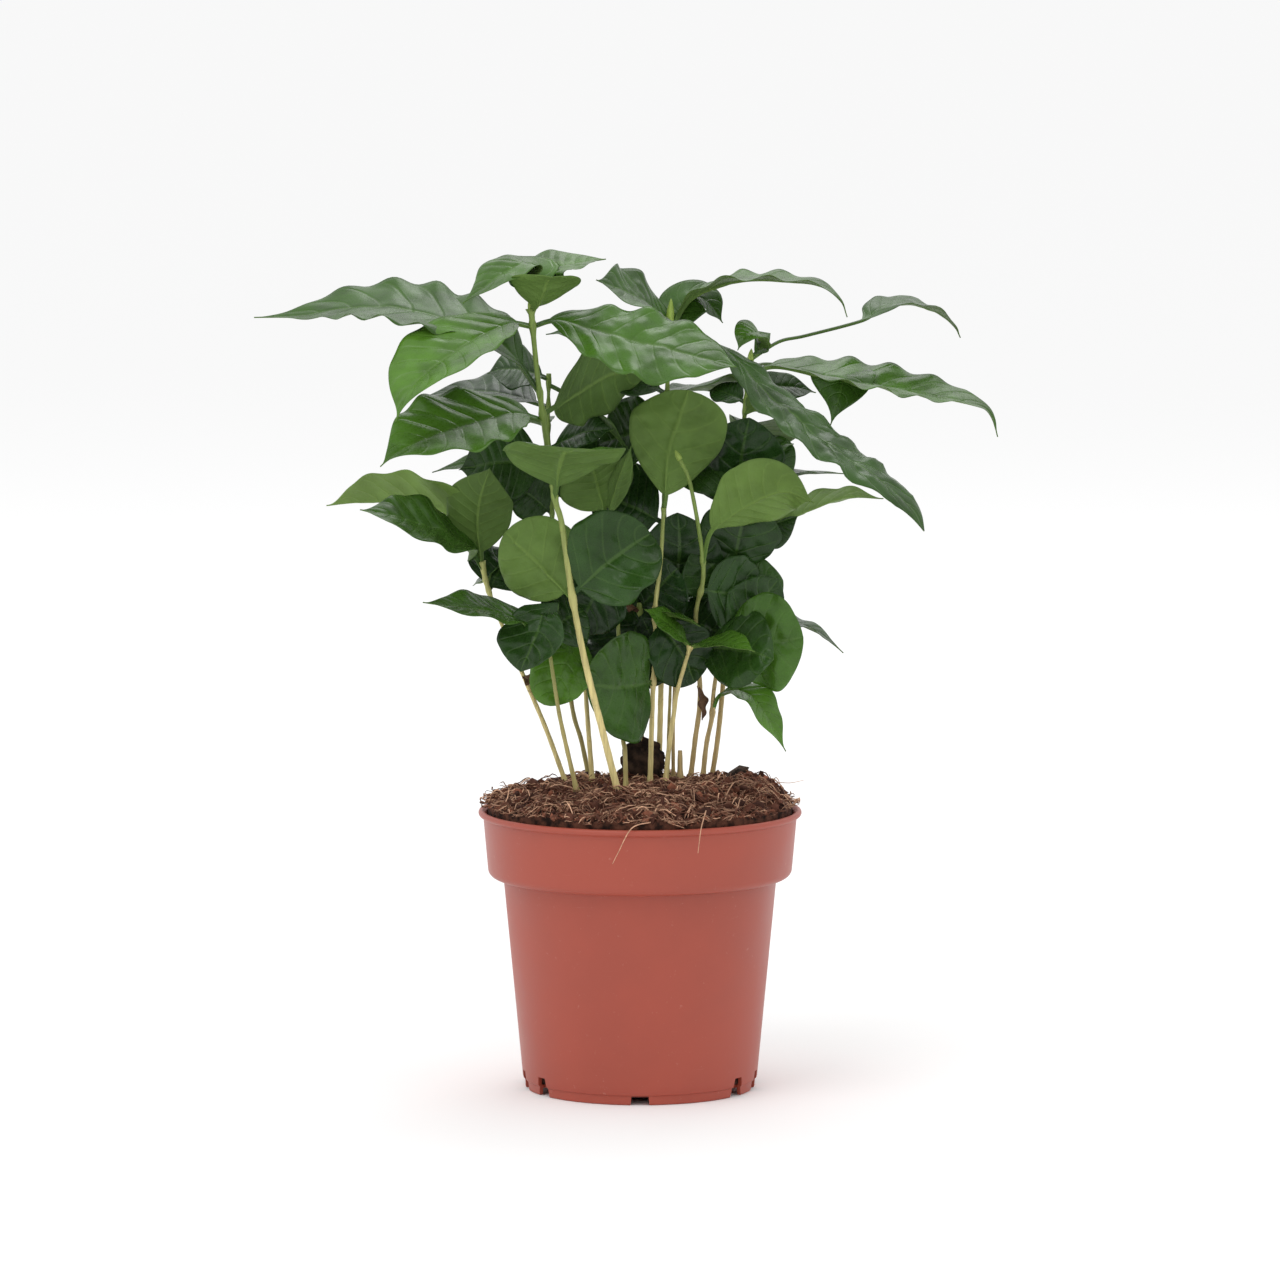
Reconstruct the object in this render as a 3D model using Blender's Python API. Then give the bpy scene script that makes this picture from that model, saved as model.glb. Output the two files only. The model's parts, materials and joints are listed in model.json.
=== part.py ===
"""Potted young coffee plant: nursery pot, soil, seedling stems and leaves.

Metres, +Z up, front towards -Y. The origin is the centre of the pot's base on the ground.
The plant is measured from the centre of the pot's rim plane, so it rides up or down with the
pot. Tables give millimetres.
"""

import math

import bmesh
import bpy
import numpy as np
from mathutils import Vector

MM = 0.001

# Driving dimensions
POT_HEIGHT = 0.104
LIP_DIAMETER = 0.120
COLLAR_HEIGHT = 0.025
COLLAR_TAPER = 0.0017
COLLAR_INSET = 0.0018
BODY_TOP_DIAMETER = 0.1016
BODY_BASE_DIAMETER = 0.0872
WALL = 0.0012
FLOOR_RISE = 0.0026
FOOT_LEDGE = 0.0035
SOIL_CROWN = 0.0095
SOIL_BELOW_RIM = 0.0022
PLANT_SCALE = 1.0
STEM_RADIUS_SCALE = 1.0
LEAF_THICKNESS = 0.0007
GAP = 0.0003
BURY = 0.007

POT_STEPS = 56
SOIL_STEPS = 40
STEM_SIDES = 6
STEM_RINGS = 10
LEAF_RINGS = 12

# Drainage notches in the foot: angles in degrees from the front, mirrored left and right.
DEEP_NOTCHES = (56.0, 79.0, 101.0, 124.0)
DEEP_NOTCH = (0.0056, 0.0034, 0.009)
SHALLOW_NOTCH = (0.0076, 0.0070, 0.0034)

# Colours in linear RGB, with roughness
TERRACOTTA = ((0.40, 0.095, 0.062), 0.42)
SOIL = ((0.055, 0.030, 0.018), 0.95)
BARK = ((0.040, 0.022, 0.015), 0.9)
DARK = ((0.020, 0.052, 0.018), 0.35)
GREEN = ((0.045, 0.105, 0.028), 0.38)
BRIGHT = ((0.100, 0.190, 0.045), 0.45)
STEM_PALE = ((0.52, 0.45, 0.15), 0.5)
STEM_OLIVE = ((0.22, 0.21, 0.08), 0.55)
STEM_TAN = ((0.42, 0.30, 0.15), 0.6)

# Stems: radius, look, foot (x, y), then points (x, y, height above the rim).
STEMS = {
    "stem_front": (1.3, STEM_PALE, (-8, -17), (
        (-14, -18, 32), (-20, -18, 56), (-24.7, -18, 80), (-28.7, -19, 108),
        (-31.3, -19, 118), (-36, -19, 151), (-38, -20, 167), (-39.8, -20, 187))),
    "stem_back": (1.1, STEM_PALE, (7, 27), (
        (8, 27, 50), (9, 26, 110), (10, 23, 150), (11.2, 20, 180))),
    "stem_centre": (1.0, STEM_PALE, (3.7, 13), (
        (4.8, 13, 42), (5.9, 13, 61), (5.6, 13, 73), (7.7, 13, 91), (8.8, 14, 111))),
    "stem_bud": (1.0, STEM_TAN, (18.8, 27), (
        (20.6, 26, 22), (22.5, 25, 40), (20.8, 21, 69), (23.6, 15, 88), (18.9, 9, 119),
        (14.5, 7, 130))),
    "stem_right": (1.0, STEM_TAN, (26.5, 31), (
        (29, 31, 21), (31, 31, 41), (34, 31, 80), (37, 31, 120), (39.5, 26, 150),
        (41, 19, 166))),
    "stem_left": (0.95, STEM_PALE, (-27, 14), (
        (-35, 14, 28), (-43.4, 14, 48), (-55.6, 13, 78), (-58.9, 13, 91))),
    "stem_rear_left": (0.9, STEM_OLIVE, (-18.8, 34), (
        (-22, 34, 21), (-25.8, 33, 36), (-31, 31, 80), (-34, 28, 130), (-34, 26, 160))),
    "stem_inner": (0.9, STEM_OLIVE, (-5.2, -4), (
        (-5.6, -3, 22), (-6.5, 0, 29), (-8, 4, 66), (-10, 6, 92), (-12, 6, 107))),
    "stem_low_left": (0.9, STEM_OLIVE, (-23.2, -9.5), (
        (-28.7, -9, 31), (-30.9, -9, 43), (-35, -9, 71))),
    "stem_pale_left": (1.0, STEM_PALE, (-17.7, 14), (
        (-18.8, 13, 22), (-20.2, 12, 42), (-21.5, 10, 67))),
    "stem_low_back": (0.8, STEM_OLIVE, (0.7, 33), ((0.7, 33, 30), (0, 30, 66), (0, 29, 74))),
    "stem_low_front": (1.0, STEM_PALE, (9.4, 14), (
        (10.7, 13.5, 20), (12.5, 13, 33), (14, 12, 43), (18.8, 9, 60))),
    "stem_thin": (0.7, STEM_OLIVE, (10.4, 38), ((10.8, 37, 25), (11.4, 35, 42), (12, 33, 72))),
    "stem_short": (0.75, STEM_TAN, (12.5, 28), ((12.5, 28, 27), (13.2, 27, 54))),
    "stem_stub": (1.2, STEM_TAN, (15.0, 22), ((15.0, 22, 19),)),
    "stem_low_right": (1.0, STEM_TAN, (23.4, 25), (
        (24.9, 25, 21), (26.9, 24.5, 31), (27.6, 24, 41), (30, 21, 58))),
}

# Leaves: stem, height of the node above the rim, reach from node to tip, width, direction the
# upper side faces, arch of the midrib towards that side, wave of the margin, petiole share,
# roundness (0 pointed, 1 round) and look.
LEAVES = {
    "leaf_low_pair_left": ("stem_front", 79, (-25, 12, 24), 30, (-0.3, 0.8, 0.5), 3, 0, 0.1, 1, BRIGHT),
    "leaf_low_pair_right": ("stem_front", 82, (29, 6, 22), 34, (0.1, -0.9, 0.35), 3, 0, 0.1, 1, DARK),
    "leaf_towards_front": ("stem_front", 118, (10, -34, 20), 44, (0, 0.2, 1), 3, 1, 0.12, 0.4, GREEN),
    "leaf_long_left": ("stem_front", 156, (-102.5, 28, 30), 44, (0.1, -0.3, 1), 13, 2, 0.1, 0, DARK),
    "leaf_mid_left": ("stem_front", 147, (-58, -31, -15), 42, (-0.3, -0.55, 0.8), 6, 2, 0.08, 0, GREEN),
    "leaf_mid_right": ("stem_front", 149, (44, 34, 16), 40, (-0.1, 0.8, 0.6), 4, 1, 0.1, 0.2, GREEN),
    "leaf_bright_left": ("stem_front", 181, (-49, -36, -33), 38, (-0.4, -0.5, 0.75), 12, 1, 0.08, 0, GREEN),
    "leaf_wavy_right": ("stem_front", 180, (75, -14, -18), 43, (0.1, -0.5, 0.85), 2, 2, 0.08, 0.2, GREEN),
    "leaf_top_left": ("stem_front", 187, (-28, -14, 2), 32, (-0.3, -0.6, 0.75), 10, 0, 0.08, 0.2, GREEN),
    "leaf_top_right": ("stem_front", 187, (27, 8, 18), 28, (-0.3, -0.6, 0.7), 3, 0, 0.08, 0.1, GREEN),
    "leaf_back_left": ("stem_back", 178, (-28, -10, 13), 36, (0, -0.5, 0.85), 0, 1, 0.08, 0.2, DARK),
    "leaf_back_right": ("stem_back", 177, (66, -5, 4), 30, (0, -0.15, 1), 15, 1, 0.08, 0, GREEN),
    "leaf_centre_top": ("stem_centre", 111, (14, 2, 42), 38, (0.05, 0.95, 0.3), 2, 0, 0.1, 0.9, BRIGHT),
    "leaf_centre_low": ("stem_centre", 46, (-25, -20, 2), 39, (0.5, -0.85, 0.1), 3, 0, 0.1, 1, DARK),
    "leaf_centre_hang": ("stem_centre", 69, (15, 5, -24), 21, (0.1, -0.95, 0.25), 3, 0, 0.1, 0.9, DARK),
    "leaf_bud_right": ("stem_bud", 91, (41, -13, 24), 31, (-0.2, 0.8, 0.6), 7, 0, 0.22, 0, BRIGHT),
    "leaf_bud_dark": ("stem_bud", 79, (23, 13, -1), 27, (0.3, -1, 0.05), 2, 0, 0.1, 1, DARK),
    "leaf_bud_low": ("stem_bud", 58, (28, -21, -2), 24, (0.5, -0.9, 0.15), 3, 0, 0.1, 0.8, DARK),
    "leaf_long_right": ("stem_right", 161, (95.5, 4, -23), 41, (0, -0.3, 1), 8, 2, 0.08, 0, DARK),
    "leaf_drooping": ("stem_back", 166, (93, -62, -62), 27, (0.3, -0.3, 0.9), 11, 1, 0.22, 0, DARK),
    "leaf_far_right": ("stem_right", 166, (80, 38, 8), 26, (0, -0.25, 1), 12, 1, 0.42, 0, DARK),
    "leaf_right_round": ("stem_right", 104, (5, -7, 40), 25, (0, -0.9, 0.4), 3, 0, 0.1, 0.8, DARK),
    "leaf_right_light": ("stem_right", 98, (56, 12, 17), 26, (0, 0.35, 0.9), 5, 0, 0.2, 0, BRIGHT),
    "leaf_right_low": ("stem_right", 62, (44, 4, -7), 15, (0, -0.2, 1), 9, 0, 0.35, 0, DARK),
    "leaf_left_up": ("stem_left", 91, (3, -3, 34), 25, (0.1, 0.95, 0.3), 2, 0, 0.1, 0.5, BRIGHT),
    "leaf_left_front": ("stem_left", 88, (-44, -21, 21), 32, (-0.3, -0.5, 0.8), 4, 1, 0.1, 0.2, DARK),
    "leaf_left_far": ("stem_left", 91, (-59, 26, 20), 32, (-0.1, 0.45, 0.85), 15, 0, 0.15, 0.1, BRIGHT),
    "leaf_left_low": ("stem_left", 80, (10, 17, 12), 26, (0, -0.85, 0.5), 2, 0, 0.1, 1, DARK),
    "leaf_low_left_out": ("stem_low_left", 70, (-45, -20, 8), 24, (-0.1, -0.35, 0.9), 3, 0, 0.12, 0.1, GREEN),
    "leaf_low_left_hang": ("stem_low_left", 69, (-9, -13, -24), 24, (-0.4, -0.7, 0.45), 6, 0, 0.1, 0.8, DARK),
    "leaf_pale_round": ("stem_pale_left", 66, (-14, -15, -27), 21, (-0.2, -0.9, 0.35), 4, 0, 0.15, 1, BRIGHT),
    "leaf_rear_tip": ("stem_rear_left", 159, (-23, 0, 2), 24, (-0.2, -0.5, 0.85), 3, 0, 0.1, 0, DARK),
    "leaf_rear_left": ("stem_rear_left", 148, (-48, 18, 2), 28, (0, -0.25, 1), 4, 1, 0.1, 0, DARK),
    "leaf_rear_mid": ("stem_rear_left", 126, (-34, 2, -3), 30, (-0.1, -0.9, 0.4), 4, 0, 0.1, 0.2, DARK),
    "leaf_inner_up": ("stem_inner", 107, (-8, 14, 25), 26, (0, 0.95, 0.3), 2, 0, 0.15, 0.6, BRIGHT),
    "leaf_inner_dark": ("stem_low_back", 74, (-15, -8, 24), 31, (0.1, -0.9, 0.4), 3, 0, 0.1, 1, DARK),
    "leaf_inner_hang": ("stem_low_back", 68, (-12, -12, -26), 26, (0, -0.9, 0.4), 4, 0, 0.1, 1, DARK),
    "leaf_thin_up": ("stem_thin", 72, (4, -3, 29), 18, (0.1, -0.9, 0.3), 2, 0, 0.1, 0.8, DARK),
    "leaf_small_light": ("stem_low_front", 60, (25, -14, -2), 18, (-0.2, -0.1, 0.9), 3, 0, 0.1, 0.2, BRIGHT),
    "leaf_low_right_big": ("stem_low_right", 58, (31, -3, 1), 35, (0.1, -1, 0.05), 3, 0, 0.08, 0.9, GREEN),
    "leaf_low_right_hang": ("stem_low_right", 33, (27, -15, -13), 18, (0.4, -0.5, 0.7), 11, 0, 0.2, 0, GREEN),
}

MARGIN_WAVES = 3
BARK_CENTRE = (0.4, 20.0)
BARK_SIZE = (15.5, 5.0, 16.0)


def clear_scene():
    for item in list(bpy.data.objects):
        bpy.data.objects.remove(item)


def material(name, look):
    colour, roughness = look
    mat = bpy.data.materials.new(name)
    mat.use_nodes = True
    shader = mat.node_tree.nodes["Principled BSDF"]
    shader.inputs["Base Color"].default_value = (*colour, 1.0)
    shader.inputs["Roughness"].default_value = roughness
    shader.inputs["Metallic"].default_value = 0.0
    mat.diffuse_color = (*colour, 1.0)
    return mat


def mesh_object(name, bm, look=None):
    bmesh.ops.recalc_face_normals(bm, faces=bm.faces[:])
    mesh = bpy.data.meshes.new(name)
    bm.to_mesh(mesh)
    bm.free()
    mesh.shade_smooth()
    mesh.set_sharp_from_angle(angle=math.radians(40))
    item = bpy.data.objects.new(name, mesh)
    bpy.context.scene.collection.objects.link(item)
    if look is not None:
        mesh.materials.append(material(name, look))
    return item


def cut(item, cutter):
    cutter.hide_render = True
    cutter.display_type = "WIRE"
    boolean = item.modifiers.new("cut_" + cutter.name, "BOOLEAN")
    boolean.operation = "DIFFERENCE"
    boolean.solver = "EXACT"
    boolean.object = cutter


def rings_to_mesh(bm, rings):
    """Closed body through rings of equal length, with flat ends."""
    rows = [[bm.verts.new(p) for p in ring] for ring in rings]
    count = len(rows[0])
    for low, high in zip(rows, rows[1:]):
        for i in range(count):
            j = (i + 1) % count
            bm.faces.new((low[i], low[j], high[j], high[i]))
    bm.faces.new(rows[0][::-1])
    bm.faces.new(rows[-1])


def lathe(bm, profile, steps):
    """Profile points (radius, height) turned about Z; the first and last are on the axis."""
    start = bm.verts.new((0, 0, profile[0][1]))
    end = bm.verts.new((0, 0, profile[-1][1]))
    rows = []
    for radius, height in profile[1:-1]:
        turn = [2 * math.pi * i / steps for i in range(steps)]
        rows.append([bm.verts.new((radius * math.cos(a), radius * math.sin(a), height)) for a in turn])
    for i in range(steps):
        j = (i + 1) % steps
        bm.faces.new((start, rows[0][i], rows[0][j]))
        bm.faces.new((end, rows[-1][j], rows[-1][i]))
        for low, high in zip(rows, rows[1:]):
            bm.faces.new((low[i], high[i], high[j], low[j]))


# Pot radii at the heights where the wall turns
LIP_R = LIP_DIAMETER / 2
COLLAR_R = LIP_R - COLLAR_INSET
COLLAR_FOOT_R = COLLAR_R - COLLAR_TAPER
COLLAR_Z = POT_HEIGHT - COLLAR_HEIGHT
BODY_TOP_R = BODY_TOP_DIAMETER / 2
BODY_BASE_R = BODY_BASE_DIAMETER / 2
STEP_IN_R = BODY_TOP_R - WALL
STEP_OUT_R = COLLAR_FOOT_R - WALL
MOUTH_R = COLLAR_R - WALL
FLOOR_Z = FLOOR_RISE + WALL
INNER_BASE_R = BODY_BASE_R - WALL - 0.0003


def pot():
    top = POT_HEIGHT
    profile = [
        (0, FLOOR_RISE),
        (BODY_BASE_R - 2.2 * MM, FLOOR_RISE),
        (BODY_BASE_R - 2.4 * MM, 0),
        (BODY_BASE_R - 0.9 * MM, 0),
        (BODY_BASE_R - 0.6 * MM, FOOT_LEDGE - 0.2 * MM),
        (BODY_BASE_R, FOOT_LEDGE + 0.3 * MM),
        (BODY_TOP_R, COLLAR_Z),
        (COLLAR_FOOT_R - 2.4 * MM, COLLAR_Z),
        (COLLAR_FOOT_R - 1.0 * MM, COLLAR_Z + 0.4 * MM),
        (COLLAR_FOOT_R - 0.2 * MM, COLLAR_Z + 1.4 * MM),
        (COLLAR_FOOT_R, COLLAR_Z + 3 * MM),
        (COLLAR_R, top - 2.9 * MM),
        (LIP_R - 0.3 * MM, top - 2.6 * MM),
        (LIP_R, top - 1.9 * MM),
        (LIP_R - 0.1 * MM, top - 0.8 * MM),
        (LIP_R - 0.8 * MM, top),
        (LIP_R - 2.0 * MM, top - 0.1 * MM),
        (MOUTH_R, top - 1.3 * MM),
        (STEP_OUT_R, COLLAR_Z + WALL + 0.3 * MM),
        (STEP_IN_R, COLLAR_Z + 0.7 * MM),
        (INNER_BASE_R, FLOOR_Z),
        (0, FLOOR_Z),
    ]
    bm = bmesh.new()
    lathe(bm, profile, POT_STEPS)
    body = mesh_object("pot", bm, TERRACOTTA)
    bm = bmesh.new()
    notches = [(0.0, SHALLOW_NOTCH), (180.0, SHALLOW_NOTCH)]
    for angle in DEEP_NOTCHES:
        notches += [(angle, DEEP_NOTCH), (-angle, DEEP_NOTCH)]
    for angle, (low_width, top_width, height) in notches:
        turn = math.radians(angle)
        out = Vector((math.sin(turn), -math.cos(turn), 0))
        side = Vector((math.cos(turn), math.sin(turn), 0))
        rings = []
        for z, width in ((-0.002, low_width), (height, top_width)):
            corners = ((BODY_BASE_R - 3.3 * MM, -1), (BODY_BASE_R + 4 * MM, -1),
                       (BODY_BASE_R + 4 * MM, 1), (BODY_BASE_R - 3.3 * MM, 1))
            rings.append([out * r + side * (s * width / 2) + Vector((0, 0, z)) for r, s in corners])
        rings_to_mesh(bm, rings)
    cut(body, mesh_object("notch_cutter", bm))


def soil_height(x, y):
    """Height of the soil's surface above the base: a low mound with soft humps."""
    share = min(1.0, math.hypot(x, y) / MOUTH_R)
    mound = SOIL_CROWN * (1 - share**4)
    humps = 0.0012 * math.sin(0.19e3 * x + 0.6) * math.cos(0.16e3 * y) * (1 - share**4)
    return POT_HEIGHT - SOIL_BELOW_RIM + mound + humps


def soil():
    bm = bmesh.new()
    rim_r = MOUTH_R - 0.5 * MM
    wall = [
        (INNER_BASE_R - GAP, FLOOR_Z + GAP),
        (STEP_IN_R - 0.45 * MM, COLLAR_Z + 1.0 * MM),
        (STEP_OUT_R - 0.45 * MM, COLLAR_Z + WALL + 0.7 * MM),
    ]
    shares = (1.0, 0.94, 0.82, 0.64, 0.43, 0.21)
    turn = [2 * math.pi * i / SOIL_STEPS for i in range(SOIL_STEPS)]
    rows = [[bm.verts.new((r * math.cos(a), r * math.sin(a), z)) for a in turn] for r, z in wall]
    for share in shares:
        row = []
        for a in turn:
            x = share * rim_r * math.cos(a)
            y = share * rim_r * math.sin(a)
            row.append(bm.verts.new((x, y, soil_height(x, y))))
        rows.append(row)
    crown = bm.verts.new((0, 0, soil_height(0, 0)))
    bm.faces.new(rows[0][::-1])
    for i in range(SOIL_STEPS):
        j = (i + 1) % SOIL_STEPS
        bm.faces.new((crown, rows[-1][i], rows[-1][j]))
        for low, high in zip(rows, rows[1:]):
            bm.faces.new((low[i], low[j], high[j], high[i]))
    body = mesh_object("soil", bm, SOIL)

    bm = bmesh.new()
    for radius, _, foot, _ in STEMS.values():
        x, y = (PLANT_SCALE * v * MM for v in foot)
        r = radius * MM * STEM_RADIUS_SCALE + GAP
        low = soil_height(x, y) - BURY - GAP
        rings = []
        for z in (low, low + BURY + 9 * MM):
            angles = [2 * math.pi * (i + 0.5) / 8 for i in range(8)]
            reach = r / math.cos(math.pi / 8)
            rings.append([(x + reach * math.cos(a), y + reach * math.sin(a), z) for a in angles])
        rings_to_mesh(bm, rings)
    cut(body, mesh_object("socket_cutter", bm))
    bm = bmesh.new()
    rings_to_mesh(bm, bark_rings(0.4))
    cut(body, mesh_object("bark_cutter", bm))


def bark_rings(grow):
    """A leaning flake of bark as rings of eight corners, grown outwards by this many mm."""
    x0, y0 = (PLANT_SCALE * v for v in BARK_CENTRE)
    width, depth, height = (PLANT_SCALE * v for v in BARK_SIZE)
    base = soil_height(x0 * MM, y0 * MM) - 3 * MM
    outline = ((-1, -0.7), (-0.3, -1), (0.5, -0.9), (1, -0.4), (0.9, 0.8), (0.2, 1), (-0.6, 0.9), (-1, 0.5))
    levels = ((0.0, 0.92, 0.0), (0.35, 1.0, 0.3), (0.7, 0.9, 0.6), (1.0, 0.62, 0.2))
    rings = []
    for share, size, lean in levels:
        z = base + share * (height + 3) * MM
        z += grow * MM * (1 if share == 1 else -1 if share == 0 else 0)
        ring = []
        for u, v in outline:
            x = x0 + lean + u * (width / 2 * size + grow)
            y = y0 + v * (depth / 2 * size + grow)
            ring.append((x * MM, y * MM, z))
        rings.append(ring)
    return rings


def bark():
    bm = bmesh.new()
    rings_to_mesh(bm, bark_rings(0))
    mesh_object("bark_chunk", bm, BARK)


def smooth_path(points, count):
    """Points evenly spread along a smooth curve through the given ones."""
    points = np.array(points, float)
    padded = np.vstack([2 * points[0] - points[1], points, 2 * points[-1] - points[-2]])
    fine = []
    for k in range(len(points) - 1):
        a, b, c, d = padded[k : k + 4]
        for t in np.linspace(0, 1, 12, endpoint=False):
            fine.append(0.5 * (2 * b + (c - a) * t + (2 * a - 5 * b + 4 * c - d) * t**2
                               + (3 * b - a - 3 * c + d) * t**3))
    fine.append(points[-1])
    fine = np.array(fine)
    run = np.concatenate([[0], np.cumsum(np.linalg.norm(np.diff(fine, axis=0), axis=1))])
    want = np.linspace(0, run[-1], count)
    return np.stack([np.interp(want, run, fine[:, i]) for i in range(3)], axis=1)


def stem_path(name):
    """The part of a stem above the soil, in metres."""
    _, _, foot, above = STEMS[name]
    x, y = (PLANT_SCALE * v * MM for v in foot)
    points = [(x, y, soil_height(x, y))]
    for px, py, pz in above:
        points.append((PLANT_SCALE * px * MM, PLANT_SCALE * py * MM, POT_HEIGHT + PLANT_SCALE * pz * MM))
    return smooth_path(points, 40)


def stem_radius(name, share):
    return STEMS[name][0] * MM * STEM_RADIUS_SCALE * (1 - 0.3 * share)


def stem(name):
    path = stem_path(name)
    pick = np.linspace(0, len(path) - 1, STEM_RINGS).round().astype(int)
    foot = path[0] - np.array([0, 0, BURY])
    centres = np.vstack([foot, path[pick]])
    rings = []
    for i, centre in enumerate(centres):
        low = centres[max(i - 1, 0)]
        high = centres[min(i + 1, len(centres) - 1)]
        along = high - low
        if i < 2:
            along = np.array([0.0, 0.0, 1.0])
        along = along / np.linalg.norm(along)
        side = np.cross(along, (0.0, 1.0, 0.0))
        side /= np.linalg.norm(side)
        front = np.cross(side, along)
        radius = stem_radius(name, max(0, i - 1) / (STEM_RINGS - 1))
        angles = [2 * math.pi * k / STEM_SIDES for k in range(STEM_SIDES)]
        rings.append([tuple(centre + radius * (side * math.cos(a) + front * math.sin(a))) for a in angles])
    bm = bmesh.new()
    rings_to_mesh(bm, rings)
    mesh_object(name, bm, STEMS[name][1])


def leaf_outline(share, roundness):
    """Half width of the blade as a share of its largest, from base (0) to drip tip (1)."""
    power = (1.0 - 0.38 * roundness) + (1.0 - 0.5 * roundness) * share**3
    return math.sin(math.pi * min(1.0, share**0.82)) ** power


def unit(v):
    return v / np.linalg.norm(v)


def leaf(name):
    stem_name, height, reach, width, face, arch, wave, petiole, roundness, look = LEAVES[name]
    path = stem_path(stem_name)
    node_z = POT_HEIGHT + PLANT_SCALE * height * MM
    k = int(np.argmin(np.abs(path[:, 2] - node_z)))
    node = path[k]
    axis = unit(path[min(k + 1, len(path) - 1)] - path[max(k - 1, 0)])
    reach = PLANT_SCALE * MM * np.array(reach, float)
    face = unit(np.array(face, float))
    bend = 2 * arch * PLANT_SCALE * MM * face
    start = unit(0.5 * reach + bend)
    radius = stem_radius(stem_name, k / (len(path) - 1))
    lean = abs(float(start @ axis))
    out = start if k >= len(path) - 2 else unit(start - axis * (start @ axis))
    base = node + out * (radius + GAP + 0.0004 + 0.0008 * lean)
    tip = node + reach
    middle = 0.5 * (base + tip) + bend

    rings = []
    for t in np.linspace(0, 1, LEAF_RINGS + 1) ** 0.92:
        centre = (1 - t) ** 2 * base + 2 * t * (1 - t) * middle + t * t * tip
        along = unit(2 * (1 - t) * (middle - base) + 2 * t * (tip - middle))
        side = unit(np.cross(along, face))
        up = np.cross(side, along)
        blade = max(0.0, (t - petiole) / (1 - petiole))
        half = max(0.0006, PLANT_SCALE * width * MM / 2 * leaf_outline(blade, roundness))
        if t == 1:
            half = 0.0003
        wide = half / (PLANT_SCALE * width * MM / 2)
        lift = wide * MM * PLANT_SCALE * (
            0.05 * width + wave * math.sin(2 * math.pi * MARGIN_WAVES * blade))
        drop = wide * MM * PLANT_SCALE * (
            0.05 * width + wave * math.sin(2 * math.pi * MARGIN_WAVES * blade + 1.3))
        thick = up * LEAF_THICKNESS / 2
        left = centre - side * half + up * lift
        right = centre + side * half + up * drop
        rings.append([tuple(p) for p in (
            left + thick, centre + thick, right + thick, right - thick, centre - thick, left - thick)])
    bm = bmesh.new()
    rings_to_mesh(bm, rings)
    mesh_object(name, bm, look)


def main():
    clear_scene()
    pot()
    soil()
    bark()
    for name in STEMS:
        stem(name)
    for name in LEAVES:
        leaf(name)


main()
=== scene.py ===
import json
import math
from itertools import combinations

import bmesh
import bpy
import numpy as np
from bpy.props import FloatProperty, FloatVectorProperty, IntProperty, PointerProperty
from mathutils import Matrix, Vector


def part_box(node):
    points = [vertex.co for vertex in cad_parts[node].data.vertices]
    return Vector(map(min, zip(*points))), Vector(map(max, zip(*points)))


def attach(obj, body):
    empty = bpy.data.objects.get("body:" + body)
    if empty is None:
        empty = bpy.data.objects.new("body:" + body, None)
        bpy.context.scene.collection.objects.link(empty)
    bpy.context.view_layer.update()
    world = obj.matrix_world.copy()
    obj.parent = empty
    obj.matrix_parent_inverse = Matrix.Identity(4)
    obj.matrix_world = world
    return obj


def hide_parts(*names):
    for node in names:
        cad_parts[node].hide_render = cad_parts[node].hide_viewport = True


bl_info = {
    "name": "Potted coffee plant",
    "version": (1, 0, 0),
    "blender": (4, 5, 0),
    "location": "View3D > Sidebar > Coffee plant",
    "description": "Leaves, stems, soil and nursery pot of a young coffee plant, round its fixed frame",
    "category": "Object",
}

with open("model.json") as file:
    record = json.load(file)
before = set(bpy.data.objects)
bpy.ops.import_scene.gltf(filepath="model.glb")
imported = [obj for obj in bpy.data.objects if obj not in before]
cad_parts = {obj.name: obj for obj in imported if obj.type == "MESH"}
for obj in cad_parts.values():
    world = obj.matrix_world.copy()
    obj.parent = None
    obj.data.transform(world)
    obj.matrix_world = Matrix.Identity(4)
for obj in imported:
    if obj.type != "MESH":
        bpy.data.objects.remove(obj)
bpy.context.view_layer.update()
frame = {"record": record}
CAD_SLOTS = {row["node"]: row["material_slot"] for row in frame["record"]["subparts"]}

MM = 0.001
WELD = 0.01 * MM
END_SHARE = 0.001
LIP_R, _, RIM_Z = (float(side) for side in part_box("pot")[1])

# Pot wall, measured from the lip and the rim
COLLAR_R = LIP_R - 1.8 * MM
COLLAR_FOOT_R = COLLAR_R - 1.7 * MM
COLLAR_Z = RIM_Z - 25 * MM
BODY_TOP_R = LIP_R - 9.2 * MM
BODY_BASE_R = LIP_R - 16.4 * MM
WALL = 1.2 * MM
MOUTH_R = COLLAR_R - WALL
FLOOR_LOW = 2.6 * MM
FLOOR_TOP = 3.8 * MM
LEDGE_Z = 3.5 * MM
AXIS_R = 0.001 * MM
CREASE = 32.0

# Notches in the pot's foot: degrees from the front, then low width, top width and height
DEEP_NOTCHES = (56.0, 79.0, 101.0, 124.0)
SHALLOW_NOTCHES = (0.0, 180.0)
DEEP_NOTCH = (7.6 * MM, 4.2 * MM, 7.0 * MM)
SHALLOW_NOTCH = (7.4 * MM, 6.2 * MM, 3.4 * MM)
NOTCH_IN = 3.3 * MM
NOTCH_OUT = 4 * MM

# Soil: clods as (cell, height, seed) and heaps as (x, y, spread, height), in mm
CLODS = ((9, 1.5, 3), (4.1, 1.2, 4), (1.5, 0.6, 5))
HEAPS = ((40, 8, 17, 6.0), (-20, 8, 22, 1.8))
SOIL_BRIM = 4.5 * MM
SOIL_CROWN = 9.5 * MM
SOIL_BELOW_RIM = 2.2 * MM
SOIL_FLOOR = 4.2 * MM
SOIL_STEPS = 220
SOIL_RINGS = 76
STEM_BURY = 5 * MM
STEM_SIDES = 14

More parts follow.
